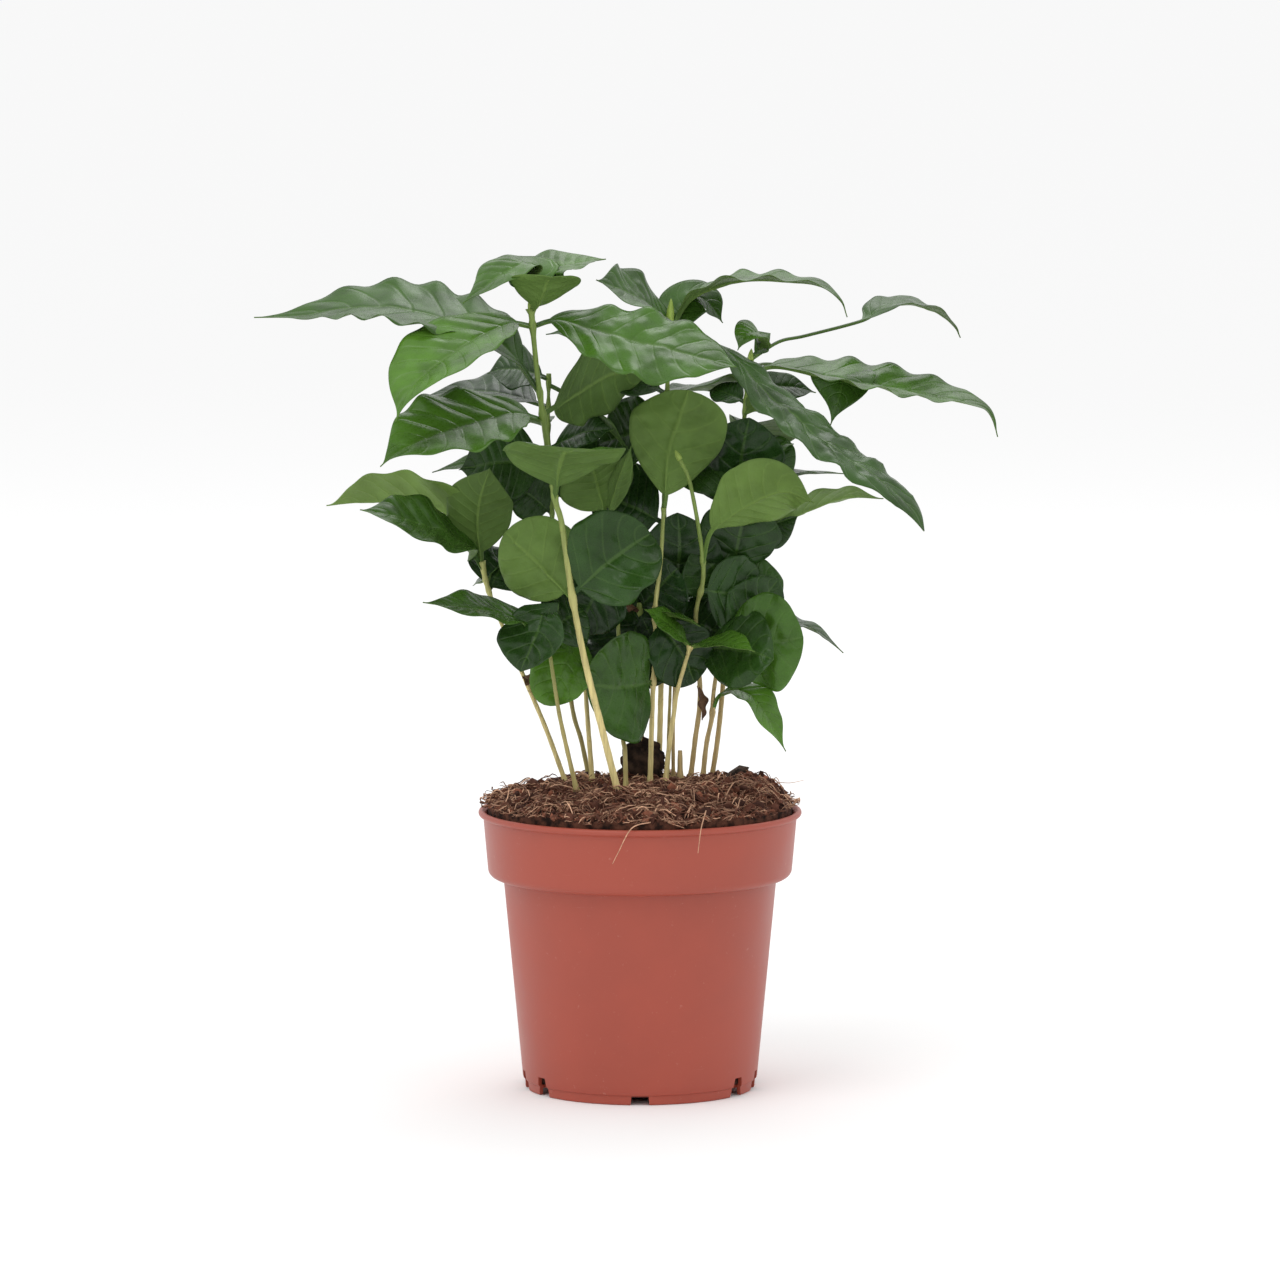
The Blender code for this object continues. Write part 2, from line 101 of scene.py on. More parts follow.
# Side veins along a long and a round leaf, and how far they sweep towards the tip
PAIRS_LONG = 9.0
PAIRS_ROUND = 5.0
ROUND_LEAF = 0.78
VEIN_SWEEP = 0.17

# Relief of a blade: length of a margin wave in mm, blisters as (cell, share), groove above and rib
# below the midrib as (half width, depth)
RIPPLE_LENGTH = 15
BLISTERS = ((7 * MM, 0.5), (3 * MM, 0.22))
GROOVE = (0.9 * MM, 0.4 * MM)
RIB = (0.65 * MM, 1.1)

# Seeds of the random draws
LITTER_SEED, CHIP_SEED = 11, 5
LEAF_SEED, SMALL_LEAF_SEED, DRY_LEAF_SEED = 100, 300, 500

# Studio, in metres
FLOOR_HALF = 60.0
FLOOR_DROP = 0.0001
CAMERA_HEIGHT = 0.442
CAMERA_AIM = (0, 0, 0.167)
LIGHT_AIM = (0, 0, 0.18)
LIGHT_SIZE = 1.0
LIGHTS = {"key": ((-0.7, -0.9, 1.8), 1.0), "rim": ((0.3, 1.2, 1.8), 0.8)}

# Stems, in mm: radius, skin (0 straw, 1 olive, 2 tan), foot (x, y), then points (x, y, height above
# the rim).
STEMS = {
    "stem_front": (1.3, 0, (-8, -17), (
        (-14, -18, 32), (-20, -18, 56), (-24.7, -18, 80), (-28.7, -19, 108),
        (-31.3, -19, 118), (-36, -19, 151), (-38, -20, 167), (-39.8, -20, 187))),
    "stem_back": (1.1, 0, (7, 27), ((8, 27, 50), (9, 26, 110), (10, 23, 150), (11.2, 20, 180))),
    "stem_centre": (1.0, 0, (3.7, 13), (
        (4.8, 13, 42), (5.9, 13, 61), (5.6, 13, 73), (7.7, 13, 91), (8.8, 14, 111))),
    "stem_bud": (1.0, 2, (18.8, 27), (
        (20.6, 26, 22), (22.5, 25, 40), (20.8, 21, 69), (23.6, 15, 88), (18.9, 9, 119),
        (14.5, 7, 130))),
    "stem_right": (1.0, 2, (26.5, 31), (
        (29, 31, 21), (31, 31, 41), (34, 31, 80), (37, 31, 120), (39.5, 26, 150),
        (41, 19, 166))),
    "stem_left": (0.95, 0, (-27, 14), ((-35, 14, 28), (-43.4, 14, 48), (-55.6, 13, 78), (-58.9, 13, 91))),
    "stem_rear_left": (0.9, 1, (-18.8, 34), (
        (-22, 34, 21), (-25.8, 33, 36), (-31, 31, 80), (-34, 28, 130), (-34, 26, 160))),
    "stem_inner": (0.9, 1, (-5.2, -4), (
        (-5.6, -3, 22), (-6.5, 0, 29), (-8, 4, 66), (-10, 6, 92), (-12, 6, 107))),
    "stem_low_left": (0.9, 1, (-23.2, -9.5), ((-28.7, -9, 31), (-30.9, -9, 43), (-35, -9, 71))),
    "stem_pale_left": (1.0, 0, (-17.7, 14), ((-18.8, 13, 22), (-20.2, 12, 42), (-21.5, 10, 67))),
    "stem_low_back": (0.8, 1, (0.7, 33), ((0.7, 33, 30), (0, 30, 66), (0, 29, 74))),
    "stem_low_front": (1.0, 0, (9.4, 14), ((10.7, 13.5, 20), (12.5, 13, 33), (14, 12, 43), (18.8, 9, 60))),
    "stem_thin": (0.7, 1, (10.4, 38), ((10.8, 37, 25), (11.4, 35, 42), (12, 33, 72))),
    "stem_short": (0.75, 2, (12.5, 28), ((12.5, 28, 27), (13.2, 27, 54))),
    "stem_stub": (1.2, 2, (15.0, 22), ((15.0, 22, 19),)),
    "stem_low_right": (1.0, 2, (23.4, 25), (
        (24.9, 25, 21), (26.9, 24.5, 31), (27.6, 24, 41), (30, 21, 58))),
}

# Leaves, in mm: stem, height of the node above the rim, reach from node to tip (or the midrib's own
# points as x, y, height above the rim), width, direction the upper side faces, arch of the midrib
# (for a reach only), wave of the margin, petiole share, roundness and tone (0 dark, 1 young and bright).
LEAVES = {
    "leaf_low_pair_left": ("stem_front", 79, (-25, 12, 24), 32, (-0.3, 0.8, 0.5), 3, 0.6, 0.1, 1, 0.75),
    "leaf_low_pair_right": ("stem_front", 82, (29, 6, 22), 36, (0.1, -0.9, 0.35), 3, 1.4, 0.1, 1, 0.15),
    "leaf_towards_front": ("stem_front", 118, ((-30.5, -22, 122.5), (-29.5, -28, 129.5),
        (-27, -38, 135.5), (-23.5, -52, 138.5)), 45, (0, 0.3, 1), 3, 1.2, 0.12, 0.5, 0.45),
    "leaf_long_left": ("stem_front", 156, ((-45.5, -18, 169), (-54.5, -15, 177.5), (-67, -10, 182),
        (-89, -3, 187), (-107.5, 2, 186.5), (-126, 4, 183.5), (-142.5, 5, 182.5)),
        45, (0.1, -0.3, 1), 13, 1.7, 0.1, 0, 0.3),
    "leaf_mid_left": ("stem_front", 147, ((-46.5, -24, 149), (-63, -33, 145.5), (-79, -42, 140.5),
        (-89, -48, 136), (-94, -52, 132)), 46, (-0.3, -0.55, 0.8), 6, 1.7, 0.08, 0, 0.6),
    "leaf_mid_right": ("stem_front", 149, (44, 34, 16), 44, (-0.1, 0.8, 0.6), 4, 1.5, 0.1, 0.2, 0.3),
    "leaf_bright_left": ("stem_front", 181, ((-48, -24, 182), (-60.5, -32, 177.5), (-74, -42, 169.5),
        (-84, -50, 160), (-88.5, -56, 148.5)), 42, (-0.4, -0.5, 0.75), 12, 0.6, 0.08, 0, 0.75),
    "leaf_wavy_right": ("stem_front", 180, ((-29.5, -21, 183), (-11.5, -24, 178.5), (5, -27, 174),
        (21.5, -31, 170), (35, -35, 167)), 44, (0.1, -0.5, 0.85), 2, 1.7, 0.08, 0.5, 0.5),
    "leaf_top_left": ("stem_front", 187, ((-40, -21, 195.5), (-42, -23, 203.5), (-49, -27, 201),
        (-56.5, -31, 196), (-64.5, -33, 190)), 26, (-0.2, -0.3, 1), 10, 0.7, 0.08, 0.2, 0.5),
    "leaf_top_right": ("stem_front", 187, ((-37.5, -20, 194), (-34.5, -18, 200.5), (-25, -15, 203.5),
        (-12.5, -12, 205)), 34, (0, -0.15, 1), 3, 0.9, 0.08, 0.1, 0.55),
    "leaf_back_left": ("stem_back", 178, ((8.5, 18, 182.5), (2.5, 13, 187.5), (-6, 7, 192),
        (-16, 2, 196.5)), 36, (0, -0.5, 0.85), 1, 2.0, 0.08, 0.2, 0.3),
    "leaf_back_right": ("stem_back", 177, ((15, 20, 184.5), (21, 19, 190.5), (35, 16, 195.5),
        (53.5, 14, 195.5), (67, 13, 193.5), (74.5, 12, 188), (77, 12, 182)),
        30, (0, -0.03, 1), 15, 1.4, 0.08, 0, 0.4),
    "leaf_centre_top": ("stem_centre", 111, ((10, 14, 119), (12.5, 14, 132), (16, 15, 144),
        (18, 17, 154.5)), 37, (0.05, 0.95, 0.3), 2, 0.6, 0.1, 1, 0.7),
    "leaf_centre_low": ("stem_centre", 46, (-25, -20, 2), 40, (0.5, -0.85, 0.1), 3, 0.8, 0.1, 1, 0.3),
    "leaf_centre_hang": ("stem_centre", 69, (15, 5, -24), 26, (0.1, -0.95, 0.25), 3, 0.8, 0.1, 0.9, 0.05),
    "leaf_bud_right": ("stem_bud", 91, ((27, 12, 103), (38.5, 8, 111.5), (53, 2, 118),
        (64.5, -4, 114.5)), 34, (-0.2, 0.8, 0.6), 7, 0.8, 0.22, 0, 0.85),
    "leaf_bud_dark": ("stem_bud", 79, (23, 13, -1), 32, (0.3, -1, 0.05), 2, 0.8, 0.1, 1, 0.1),
    "leaf_bud_low": ("stem_bud", 58, (28, -21, -2), 30, (0.5, -0.9, 0.15), 3, 0.8, 0.1, 0.8, 0.15),
    "leaf_long_right": ("stem_right", 161, ((51.5, 22, 163.5), (69, 24, 160), (87, 25, 157),
        (103, 25, 153.8), (118.5, 24, 150.8), (128, 24, 148), (132, 24, 143), (133.5, 24, 136.5)),
        39, (0, -0.19, 1), 8, 1.5, 0.08, 0, 0.5),
    "leaf_drooping": ("stem_back", 166, ((22, 8, 174.5), (36.5, -8, 168), (46.5, -16, 157.5),
        (58, -22, 149), (69, -28, 140), (80.5, -33, 132), (90.5, -37, 124.5), (99, -40, 116.5),
        (103.5, -42, 107.5)), 27, (0.3, -0.3, 0.9), 11, 1.4, 0.22, 0.75, 0.2),
    "leaf_far_right": ("stem_right", 166, ((51.5, 22, 172.5), (62, 28, 174.5), (83.5, 38, 179.5),
        (91.5, 44, 183.5), (103, 50, 184.5), (112.5, 54, 181), (119, 56, 175.5), (121, 57, 171.5)),
        24, (0, -0.1, 1), 12, 0.9, 0.5, 0, 0.25),
    "leaf_right_round": ("stem_right", 104, (5, -7, 40), 31, (0, -0.9, 0.4), 3, 0.8, 0.1, 0.8, 0.05),
    "leaf_right_light": ("stem_right", 98, ((50, 33, 103.5), (63, 36, 109), (78, 40, 113),
        (91.5, 43, 112)), 26, (0, 0.35, 0.9), 5, 1.0, 0.2, 0, 0.6),
    "leaf_right_low": ("stem_right", 62, (44, 4, -7), 15, (0, -0.2, 1), 9, 1.0, 0.35, 0, 0.2),
    "leaf_left_up": ("stem_left", 91, ((-59.5, 11, 102.5), (-58.5, 8, 114), (-55.5, 6, 126.5)),
        25, (0.1, 0.95, 0.3), 2, 0.6, 0.1, 0.5, 0.5),
    "leaf_left_front": ("stem_left", 88, ((-64, 9, 97), (-72, 3, 103), (-88.5, -4, 109),
        (-103, -9, 112.5)), 33, (-0.3, -0.5, 0.8), 4, 1.4, 0.1, 0.2, 0.35),
    "leaf_left_far": ("stem_left", 91, ((-65, 15, 101), (-72, 18, 110), (-89.5, 24, 112.5),
        (-104.5, 30, 112.5), (-117.5, 36, 110)), 34, (-0.1, 0.45, 0.85), 15, 1.0, 0.15, 0.1, 0.95),
    "leaf_left_low": ("stem_left", 80, (10, 17, 12), 28, (0, -0.85, 0.5), 2, 0.8, 0.1, 1, 0.05),
    "leaf_low_left_out": ("stem_low_left", 70, ((-44.5, -10, 72), (-55, -16, 75.5), (-68, -22, 78),
        (-79.5, -26, 80)), 28, (-0.1, -0.35, 0.9), 3, 1.0, 0.12, 0.1, 0.4),
    "leaf_low_left_hang": ("stem_low_left", 69, ((-36.5, -12, 74), (-40, -17, 64.5), (-44, -20, 53.5)),
        27, (-0.4, -0.7, 0.45), 6, 0.8, 0.1, 0.8, 0.1),
    "leaf_pale_round": ("stem_pale_left", 66, (-14, -15, -27),
        23, (-0.2, -0.9, 0.35), 4, 0.6, 0.15, 1, 0.8),
    "leaf_rear_tip": ("stem_rear_left", 159, (-23, 0, 2), 28, (-0.2, -0.5, 0.85), 3, 1.0, 0.1, 0, 0.1),
    "leaf_rear_left": ("stem_rear_left", 148, (-48, 18, 2), 32, (0, -0.25, 1), 4, 1.4, 0.1, 0, 0.05),
    "leaf_rear_mid": ("stem_rear_left", 126, (-34, 2, -3), 34, (-0.1, -0.9, 0.4), 4, 1.0, 0.1, 0.2, 0.15),
    "leaf_inner_up": ("stem_inner", 107, (-8, 14, 25), 28, (0, 0.95, 0.3), 2, 0.6, 0.15, 0.6, 0.6),
    "leaf_inner_dark": ("stem_low_back", 74, (-15, -8, 24), 38, (0.1, -0.9, 0.4), 3, 0.8, 0.1, 1, 0.05),
    "leaf_inner_hang": ("stem_low_back", 68, (-12, -12, -26), 34, (0, -0.9, 0.4), 4, 0.8, 0.1, 1, 0.0),
    "leaf_thin_up": ("stem_thin", 72, (4, -3, 29), 24, (0.1, -0.9, 0.3), 2, 0.6, 0.1, 0.8, 0.05),
    "leaf_small_light": ("stem_low_front", 60, ((26, 4, 62), (34.5, -1, 62), (42.5, -5, 59.5)),
        18, (-0.2, -0.1, 0.9), 3, 0.5, 0.1, 0.2, 0.75),
    "leaf_low_right_big": ("stem_low_right", 58, (31, -3, 4), 36, (0.1, -1, 0.05), 3, 2.6, 0.08, 0.9, 0.5),
    "leaf_low_right_hang": ("stem_low_right", 33, ((30, 22, 40), (36.5, 18, 42.5), (43, 14, 40),
        (47.5, 11, 33.5), (51.5, 9, 26), (54.5, 8, 20.5)), 15, (0.4, -0.5, 0.7), 11, 0.8, 0.2, 0, 0.85),
}

# Smaller and hidden leaves that only the visual model has, in the same form.
SMALL_LEAVES = {
    "top_front": ("stem_front", 187, ((-37, -25, 189.5), (-34.5, -33, 195.5), (-32, -42, 200)),
        26, (0, 0.3, 1), 2, 0.5, 0.05, 0.6, 0.6),
    "behind_top": ("stem_back", 174, ((18, 24, 187.5), (25, 26, 186.5), (31, 26, 179)),
        24, (0, -0.4, 0.9), 2, 1.0, 0.1, 0.1, 0.3),
    "behind_left": ("stem_back", 170, (-46, 14, 4), 24, (0, -0.35, 0.95), 3, 1.0, 0.1, 0, 0.15),
    "behind_low": ("stem_back", 152, (-30, 6, 8), 24, (0, -0.5, 0.8), 3, 0.8, 0.1, 0.2, 0.1),
    "right_hang": ("stem_right", 162, ((48, 34, 163.5), (67, 46, 160.5), (77.5, 40, 160),
        (78, 30, 160), (77.5, 21, 157.5), (75, 17, 150.5), (70.5, 15, 141.5)),
        25, (0, -0.3, 1), 3, 0.6, 0.56, 0, 0.35),
    "right_young": ("stem_right", 166, ((45.5, 18, 172), (43, 14, 176.5), (39, 10, 175), (36, 8, 170)),
        15, (0, -0.5, 0.9), 2, 0.4, 0.1, 0.1, 0.5),
    "right_under": ("stem_right", 155, (26, 10, -2), 16, (0, -0.6, 0.8), 2, 0.6, 0.1, 0, 0.2),
    "right_pale": ("stem_right", 146, (16, -14, 2), 17, (0, 0.5, 0.8), 2, 0.6, 0.1, 0.2, 0.6),
    "right_inner": ("stem_right", 150, (-14, 8, 4), 14, (0, -0.6, 0.8), 2, 0.6, 0.1, 0.2, 0.1),
    "right_small": ("stem_right", 126, (20, -2, 8), 15, (0, -0.5, 0.8), 2, 0.6, 0.1, 0.2, 0.3),
    "right_lower": ("stem_right", 100, (24, 4, 6), 19, (0.1, -0.9, 0.4), 2, 0.6, 0.1, 0.4, 0.12),
    "right_edge": ("stem_right", 118, (40, 24, 2), 15, (0, 0, 1), 2, 0.6, 0.1, 0, 0.1),
    "right_lobe": ("stem_low_right", 57, (22, 6, 26), 22, (0.3, -0.9, 0.1), 3, 1.3, 0.2, 0.85, 0.12),
    "right_curl": ("stem_right", 76, (20, -1, 6), 24, (0.2, -0.9, 0.3), 3, 1.0, 0.1, 0.8, 0.2),
    "right_rear": ("stem_right", 110, (-10, 12, 24), 24, (0, -0.9, 0.3), 2, 0.6, 0.1, 0.8, 0.02),
    "pale_small": ("stem_pale_left", 67, (-14, 3, 10), 17, (0, -0.9, 0.4), 2, 0.5, 0.1, 0.6, 0.8),
    "rear_edge": ("stem_rear_left", 156, (34, -4, -32), 14, (0.5, 0.1, 0.6), 4, 0.8, 0.1, 0, 0.1),
    "rear_right": ("stem_rear_left", 132, (24, -10, 8), 20, (0, -0.6, 0.8), 2, 0.8, 0.1, 0.2, 0.08),
    "rear_low": ("stem_rear_left", 108, (-16, -6, 12), 19, (0, -0.9, 0.3), 2, 0.6, 0.1, 0.5, 0.12),
    "rear_small": ("stem_rear_left", 128, (-44, 8, -6), 13, (0, -0.4, 0.9), 2, 0.6, 0.1, 0, 0.4),
    "centre_small": ("stem_centre", 73, (17, -5, -5), 9, (0, 0.1, 1), 1, 0.4, 0.1, 0.1, 0.6),
    "inner_narrow": ("stem_inner", 107, (9, 8, 27), 9, (0.5, 0.8, 0.2), 1, 0.3, 0.1, 0.1, 0.5),
    "low_back_hang": ("stem_low_back", 70, (10, -6, -24), 22, (0, -0.9, 0.3), 3, 0.8, 0.1, 0.9, 0.0),
    "front_pair_left": ("stem_low_front", 60, (-17, -3, 14), 17, (0.2, -0.4, 0.9), 1, 0.4, 0.1, 0.2, 0.7),
    "inner_fill_1": ("stem_low_back", 72, (14, -10, 16), 30, (0.1, -0.9, 0.4), 3, 0.6, 0.1, 0.9, 0.02),
    "inner_fill_2": ("stem_thin", 60, (-20, -6, 4), 34, (0, -0.95, 0.2), 3, 0.6, 0.1, 0.9, 0.05),
    "inner_fill_3": ("stem_inner", 90, (-14, 8, -26), 30, (-0.1, -0.9, 0.3), 3, 0.6, 0.1, 0.8, 0.05),
    "inner_fill_4": ("stem_low_left", 66, (14, 8, 8), 26, (0, -0.9, 0.3), 3, 0.6, 0.1, 0.9, 0.1),
    "inner_fill_5": ("stem_thin", 68, (24, -6, -8), 28, (0, -0.95, 0.2), 3, 0.6, 0.1, 0.9, 0.05),
    "upper_fill_1": ("stem_back", 140, (-26, 8, -6), 30, (0, -0.8, 0.5), 3, 1.0, 0.1, 0.4, 0.2),
    "upper_fill_2": ("stem_back", 120, (30, 8, 12), 32, (0, -0.8, 0.5), 3, 1.0, 0.1, 0.4, 0.2),
    "upper_fill_3": ("stem_rear_left", 112, (30, 0, 14), 32, (0, -0.8, 0.5), 3, 1.0, 0.1, 0.5, 0.1),
    "upper_fill_4": ("stem_back", 104, (-28, 6, 10), 32, (0, -0.9, 0.4), 3, 1.0, 0.1, 0.6, 0.05),
    "mid_fill_1": ("stem_thin", 72, (2, -7, 36), 32, (0.1, -0.95, 0.2), 3, 0.8, 0.08, 0.8, 0.05),
    "mid_fill_2": ("stem_right", 86, (6, -5, 28), 30, (0.1, -0.95, 0.2), 3, 0.8, 0.08, 0.8, 0.1),
    "mid_fill_3": ("stem_thin", 66, (-16, 4, 30), 30, (-0.1, -0.95, 0.2), 3, 0.8, 0.08, 0.8, 0.05),
    "mid_fill_4": ("stem_right", 76, (-12, -3, 20), 28, (0.1, -0.9, 0.3), 3, 0.8, 0.08, 0.8, 0.15),
    "mid_fill_5": ("stem_right", 132, (18, -4, -14), 26, (0.1, -0.8, 0.5), 3, 0.8, 0.08, 0.6, 0.2),
    "far_side_1": ("stem_back", 165, (-22, 40, 6), 30, (0, 0.4, 0.9), 6, 1.6, 0.1, 0, 0.3),
    "far_side_2": ("stem_back", 150, (26, 36, -4), 30, (0.1, 0.4, 0.9), 6, 1.6, 0.1, 0, 0.3),
    "far_side_3": ("stem_right", 140, (14, 34, -14), 28, (0.2, 0.5, 0.8), 6, 1.4, 0.1, 0, 0.3),
    "far_side_4": ("stem_rear_left", 140, (-24, 32, -8), 30, (-0.2, 0.5, 0.8), 6, 1.6, 0.1, 0, 0.3),
    "far_side_5": ("stem_rear_left", 118, (10, 30, 4), 28, (0, 0.6, 0.7), 4, 1.2, 0.1, 0.2, 0.3),
    "far_side_6": ("stem_thin", 70, (5, 24, 4), 28, (0, 0.8, 0.5), 3, 0.8, 0.1, 0.8, 0.2),
    "far_side_7": ("stem_low_back", 60, (-12, 20, -6), 26, (0, 0.9, 0.4), 3, 0.8, 0.1, 0.9, 0.15),
    "far_side_8": ("stem_right", 88, (6, 26, 6), 28, (0.1, 0.8, 0.5), 3, 0.8, 0.1, 0.8, 0.2),
    "far_side_9": ("stem_left", 84, (12, 26, 4), 28, (-0.1, 0.7, 0.6), 4, 0.8, 0.1, 0.7, 0.25),
}

DRY_LEAVES = {
    "dry_centre": ("stem_low_back", 71, (-15, -12, 2), 9, (0, -0.6, 0.8), 3, 2.0, 0.1, 0.2, 0.0),
    "dry_left": ("stem_left", 48, (6, -5, -4), 8, (0.2, -0.6, 0.7), 2, 2.0, 0.1, 0.3, 0.0),
    "dry_sheath": ("stem_bud", 44, (1, -4, -13), 5, (0.8, -0.6, 0.1), 1, 1.0, 0.1, 0.3, 0.0),
}

# Leaves of unusual shape: where the widest place sits (a power: under 1 near the base, over 1 near the
# tip), and how far the two halves fold up.
SHAPES = {
    "leaf_centre_top": (1.5, 0.17),
    "leaf_left_far": (0.86, 0.4),
    "leaf_wavy_right": (1.12, 0.05),
    "leaf_low_right_big": (1.1, 0.25),
    "leaf_left_up": (0.9, 0.25),
    "leaf_top_left": (0.8, 0.1),
    "leaf_bud_right": (1.1, 0.16),
    "leaf_drooping": (1.1, 0.06),
    "leaf_towards_front": (1.15, 0.05),
    "leaf_right_round": (1.2, 0.04),
    "leaf_far_right": (1.0, 0.05),
    "right_hang": (0.8, 0.05),
    "leaf_low_left_out": (0.72, 0.1),
    "top_front": (1.5, 0.1),
}

# Bark flake and chip, in mm; the chip's height is above the rim
BARK_CENTRE = (0.4, 20.0)
BARK_SIZE = (15.5, 5.0, 16.0)
CHIP_PLACE = (36, 13, 12)
CHIP_STRETCH = (1.15, 0.9, 0.55)


# ---------------------------------------------------------------- meshes

def close_poles(mesh):
    """Weld the tiny rings at the ends of turned and tube shapes into single points."""
    work = bmesh.new()
    work.from_mesh(mesh)
    bmesh.ops.remove_doubles(work, verts=work.verts, dist=WELD)
    work.to_mesh(mesh)
    work.free()


def put_mesh(name, points, faces, materials, face_material=None, uv=None, tone=None, smooth=True,
             poles=False):
    """An object at the origin from points (n, 3) and quads or triangles (m, 3 or 4) as arrays."""
    points = np.asarray(points, dtype=np.float32).reshape(-1, 3)
    faces = np.asarray(faces, dtype=np.int32)
    count, corners = faces.shape
    mesh = bpy.data.meshes.new(name)
    mesh.vertices.add(len(points))
    mesh.vertices.foreach_set("co", points.ravel())
    mesh.loops.add(count * corners)
    mesh.loops.foreach_set("vertex_index", faces.ravel())
    mesh.polygons.add(count)
    mesh.polygons.foreach_set("loop_start", np.arange(count, dtype=np.int32) * corners)
    for item in materials:
        mesh.materials.append(item)
    if face_material is not None:
        mesh.polygons.foreach_set("material_index", np.asarray(face_material, dtype=np.int32))
    if uv is not None:
        layer = mesh.uv_layers.new(name="Blade")
        layer.data.foreach_set("uv", np.asarray(uv, dtype=np.float32)[faces.ravel()].ravel())
    if tone is not None:
        layer = mesh.attributes.new("tone", "FLOAT", "POINT")
        layer.data.foreach_set("value", np.full(len(points), tone, np.float32)
                               if np.isscalar(tone) else np.asarray(tone, np.float32))
    mesh.update(calc_edges=True)
    mesh.validate()
    if poles:
        close_poles(mesh)
    mesh.polygons.foreach_set("use_smooth", np.full(len(mesh.polygons), smooth))
    item = bpy.data.objects.new(name, mesh)
    bpy.context.scene.collection.objects.link(item)
    return item


def grid_faces(rows, columns, start=0, wrap=False, flip=False):
    """Quads of a grid of rows x columns points; wrap joins the last column to the first."""
    across = columns if wrap else columns - 1
    i, j = np.meshgrid(np.arange(rows - 1), np.arange(across), indexing="ij")
    k = (j + 1) % columns
    quads = np.stack([i * columns + j, i * columns + k, (i + 1) * columns + k, (i + 1) * columns + j], -1)
    quads = quads.reshape(-1, 4) + start
    return quads[:, ::-1] if flip else quads


def unit(v):
    """Vectors divided by their lengths."""
    v = np.asarray(v, float)
    return v / np.maximum(np.linalg.norm(v, axis=-1, keepdims=True), 1e-12)


def smooth_step(low, high, x):
    """0 up to low, 1 from high, and the cubic 3t^2 - 2t^3 between."""
    t = np.clip((x - low) / (high - low), 0, 1)
    return t * t * (3 - 2 * t)


def lattice_noise(x, y, cell, seed):
    """Smooth noise from -1 to 1: random values on a square lattice, blended with a smooth step."""
    table = np.random.default_rng(seed).uniform(-1, 1, (64, 64))
    gx, gy = np.asarray(x) / cell, np.asarray(y) / cell
    ix, iy = np.floor(gx).astype(int), np.floor(gy).astype(int)
    fx, fy = gx - ix, gy - iy
    fx, fy = fx * fx * (3 - 2 * fx), fy * fy * (3 - 2 * fy)
    a, b = table[ix % 64, iy % 64], table[(ix + 1) % 64, iy % 64]
    c, d = table[ix % 64, (iy + 1) % 64], table[(ix + 1) % 64, (iy + 1) % 64]
    return (a * (1 - fx) + b * fx) * (1 - fy) + (c * (1 - fx) + d * fx) * fy


def tube(path, radii, sides):
    """Rings round a path: each ring is the path's point plus the radius times a circle in the plane
    across the path. Returns points (rings, sides, 3)."""
    path = np.asarray(path, float)
    along = unit(np.gradient(path, axis=0))
    guide = np.where(np.abs(along[:, 1:2]) > 0.9, (1.0, 0.0, 0.0), (0.0, 1.0, 0.0))
    side = unit(np.cross(along, guide))
    front = np.cross(side, along)
    turn = np.arange(sides) * 2 * math.pi / sides
    radii = np.broadcast_to(np.asarray(radii, float), (len(path),))[:, None, None]
    return path[:, None] + radii * (side[:, None] * np.cos(turn)[None, :, None]
                                    + front[:, None] * np.sin(turn)[None, :, None])


def closed_tube(path, radii, sides):
    """A tube whose ends close on a point a little past each end. Returns points and quads."""
    rings = tube(path, radii, sides)
    first = np.broadcast_to(rings[0].mean(0), rings[0].shape)
    last = np.broadcast_to(rings[-1].mean(0), rings[-1].shape)
    near_first = first + END_SHARE * (rings[0] - first)
    near_last = last + END_SHARE * (rings[-1] - last)
    rings = np.concatenate([near_first[None], rings, near_last[None]])
    return rings.reshape(-1, 3), grid_faces(len(rings), sides, wrap=True, flip=True)


def smooth_path(points, count):
    """Points evenly spread along a Catmull-Rom curve through the given ones."""
    points = np.array(points, float)
    padded = np.vstack([2 * points[0] - points[1], points, 2 * points[-1] - points[-2]])
    t = np.linspace(0, 1, 12, endpoint=False)[:, None]
    fine = []
    for k in range(len(points) - 1):
        a, b, c, d = padded[k : k + 4]
        fine.append(0.5 * (2 * b + (c - a) * t + (2 * a - 5 * b + 4 * c - d) * t**2
                           + (3 * b - a - 3 * c + d) * t**3))
    fine = np.vstack(fine + [points[-1:]])
    run = np.concatenate([[0], np.cumsum(np.linalg.norm(np.diff(fine, axis=0), axis=1))])
    want = np.linspace(0, run[-1], count)
    return np.stack([np.interp(want, run, fine[:, i]) for i in range(3)], axis=1)


def finish_piece(item, slot, *nodes):
    """Parents the piece to the frame's root body and hides the nodes that it stands for. The slot is not
    used.
    """
    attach(item, "root")
    if nodes:
        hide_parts(*nodes)


# ---------------------------------------------------------------- shader groups and materials

def new_group(name, inputs, outputs):
    """A shader node group with float, colour or vector sockets; returns it, its input and output."""
    group = bpy.data.node_groups.new(name, "ShaderNodeTree")
    for label, kind, default in inputs:
        socket = group.interface.new_socket(label, in_out="INPUT", socket_type=kind)
        if default is not None:
            socket.default_value = default
    for label, kind in outputs:
        group.interface.new_socket(label, in_out="OUTPUT", socket_type=kind)
    return group, group.nodes.new("NodeGroupInput"), group.nodes.new("NodeGroupOutput")


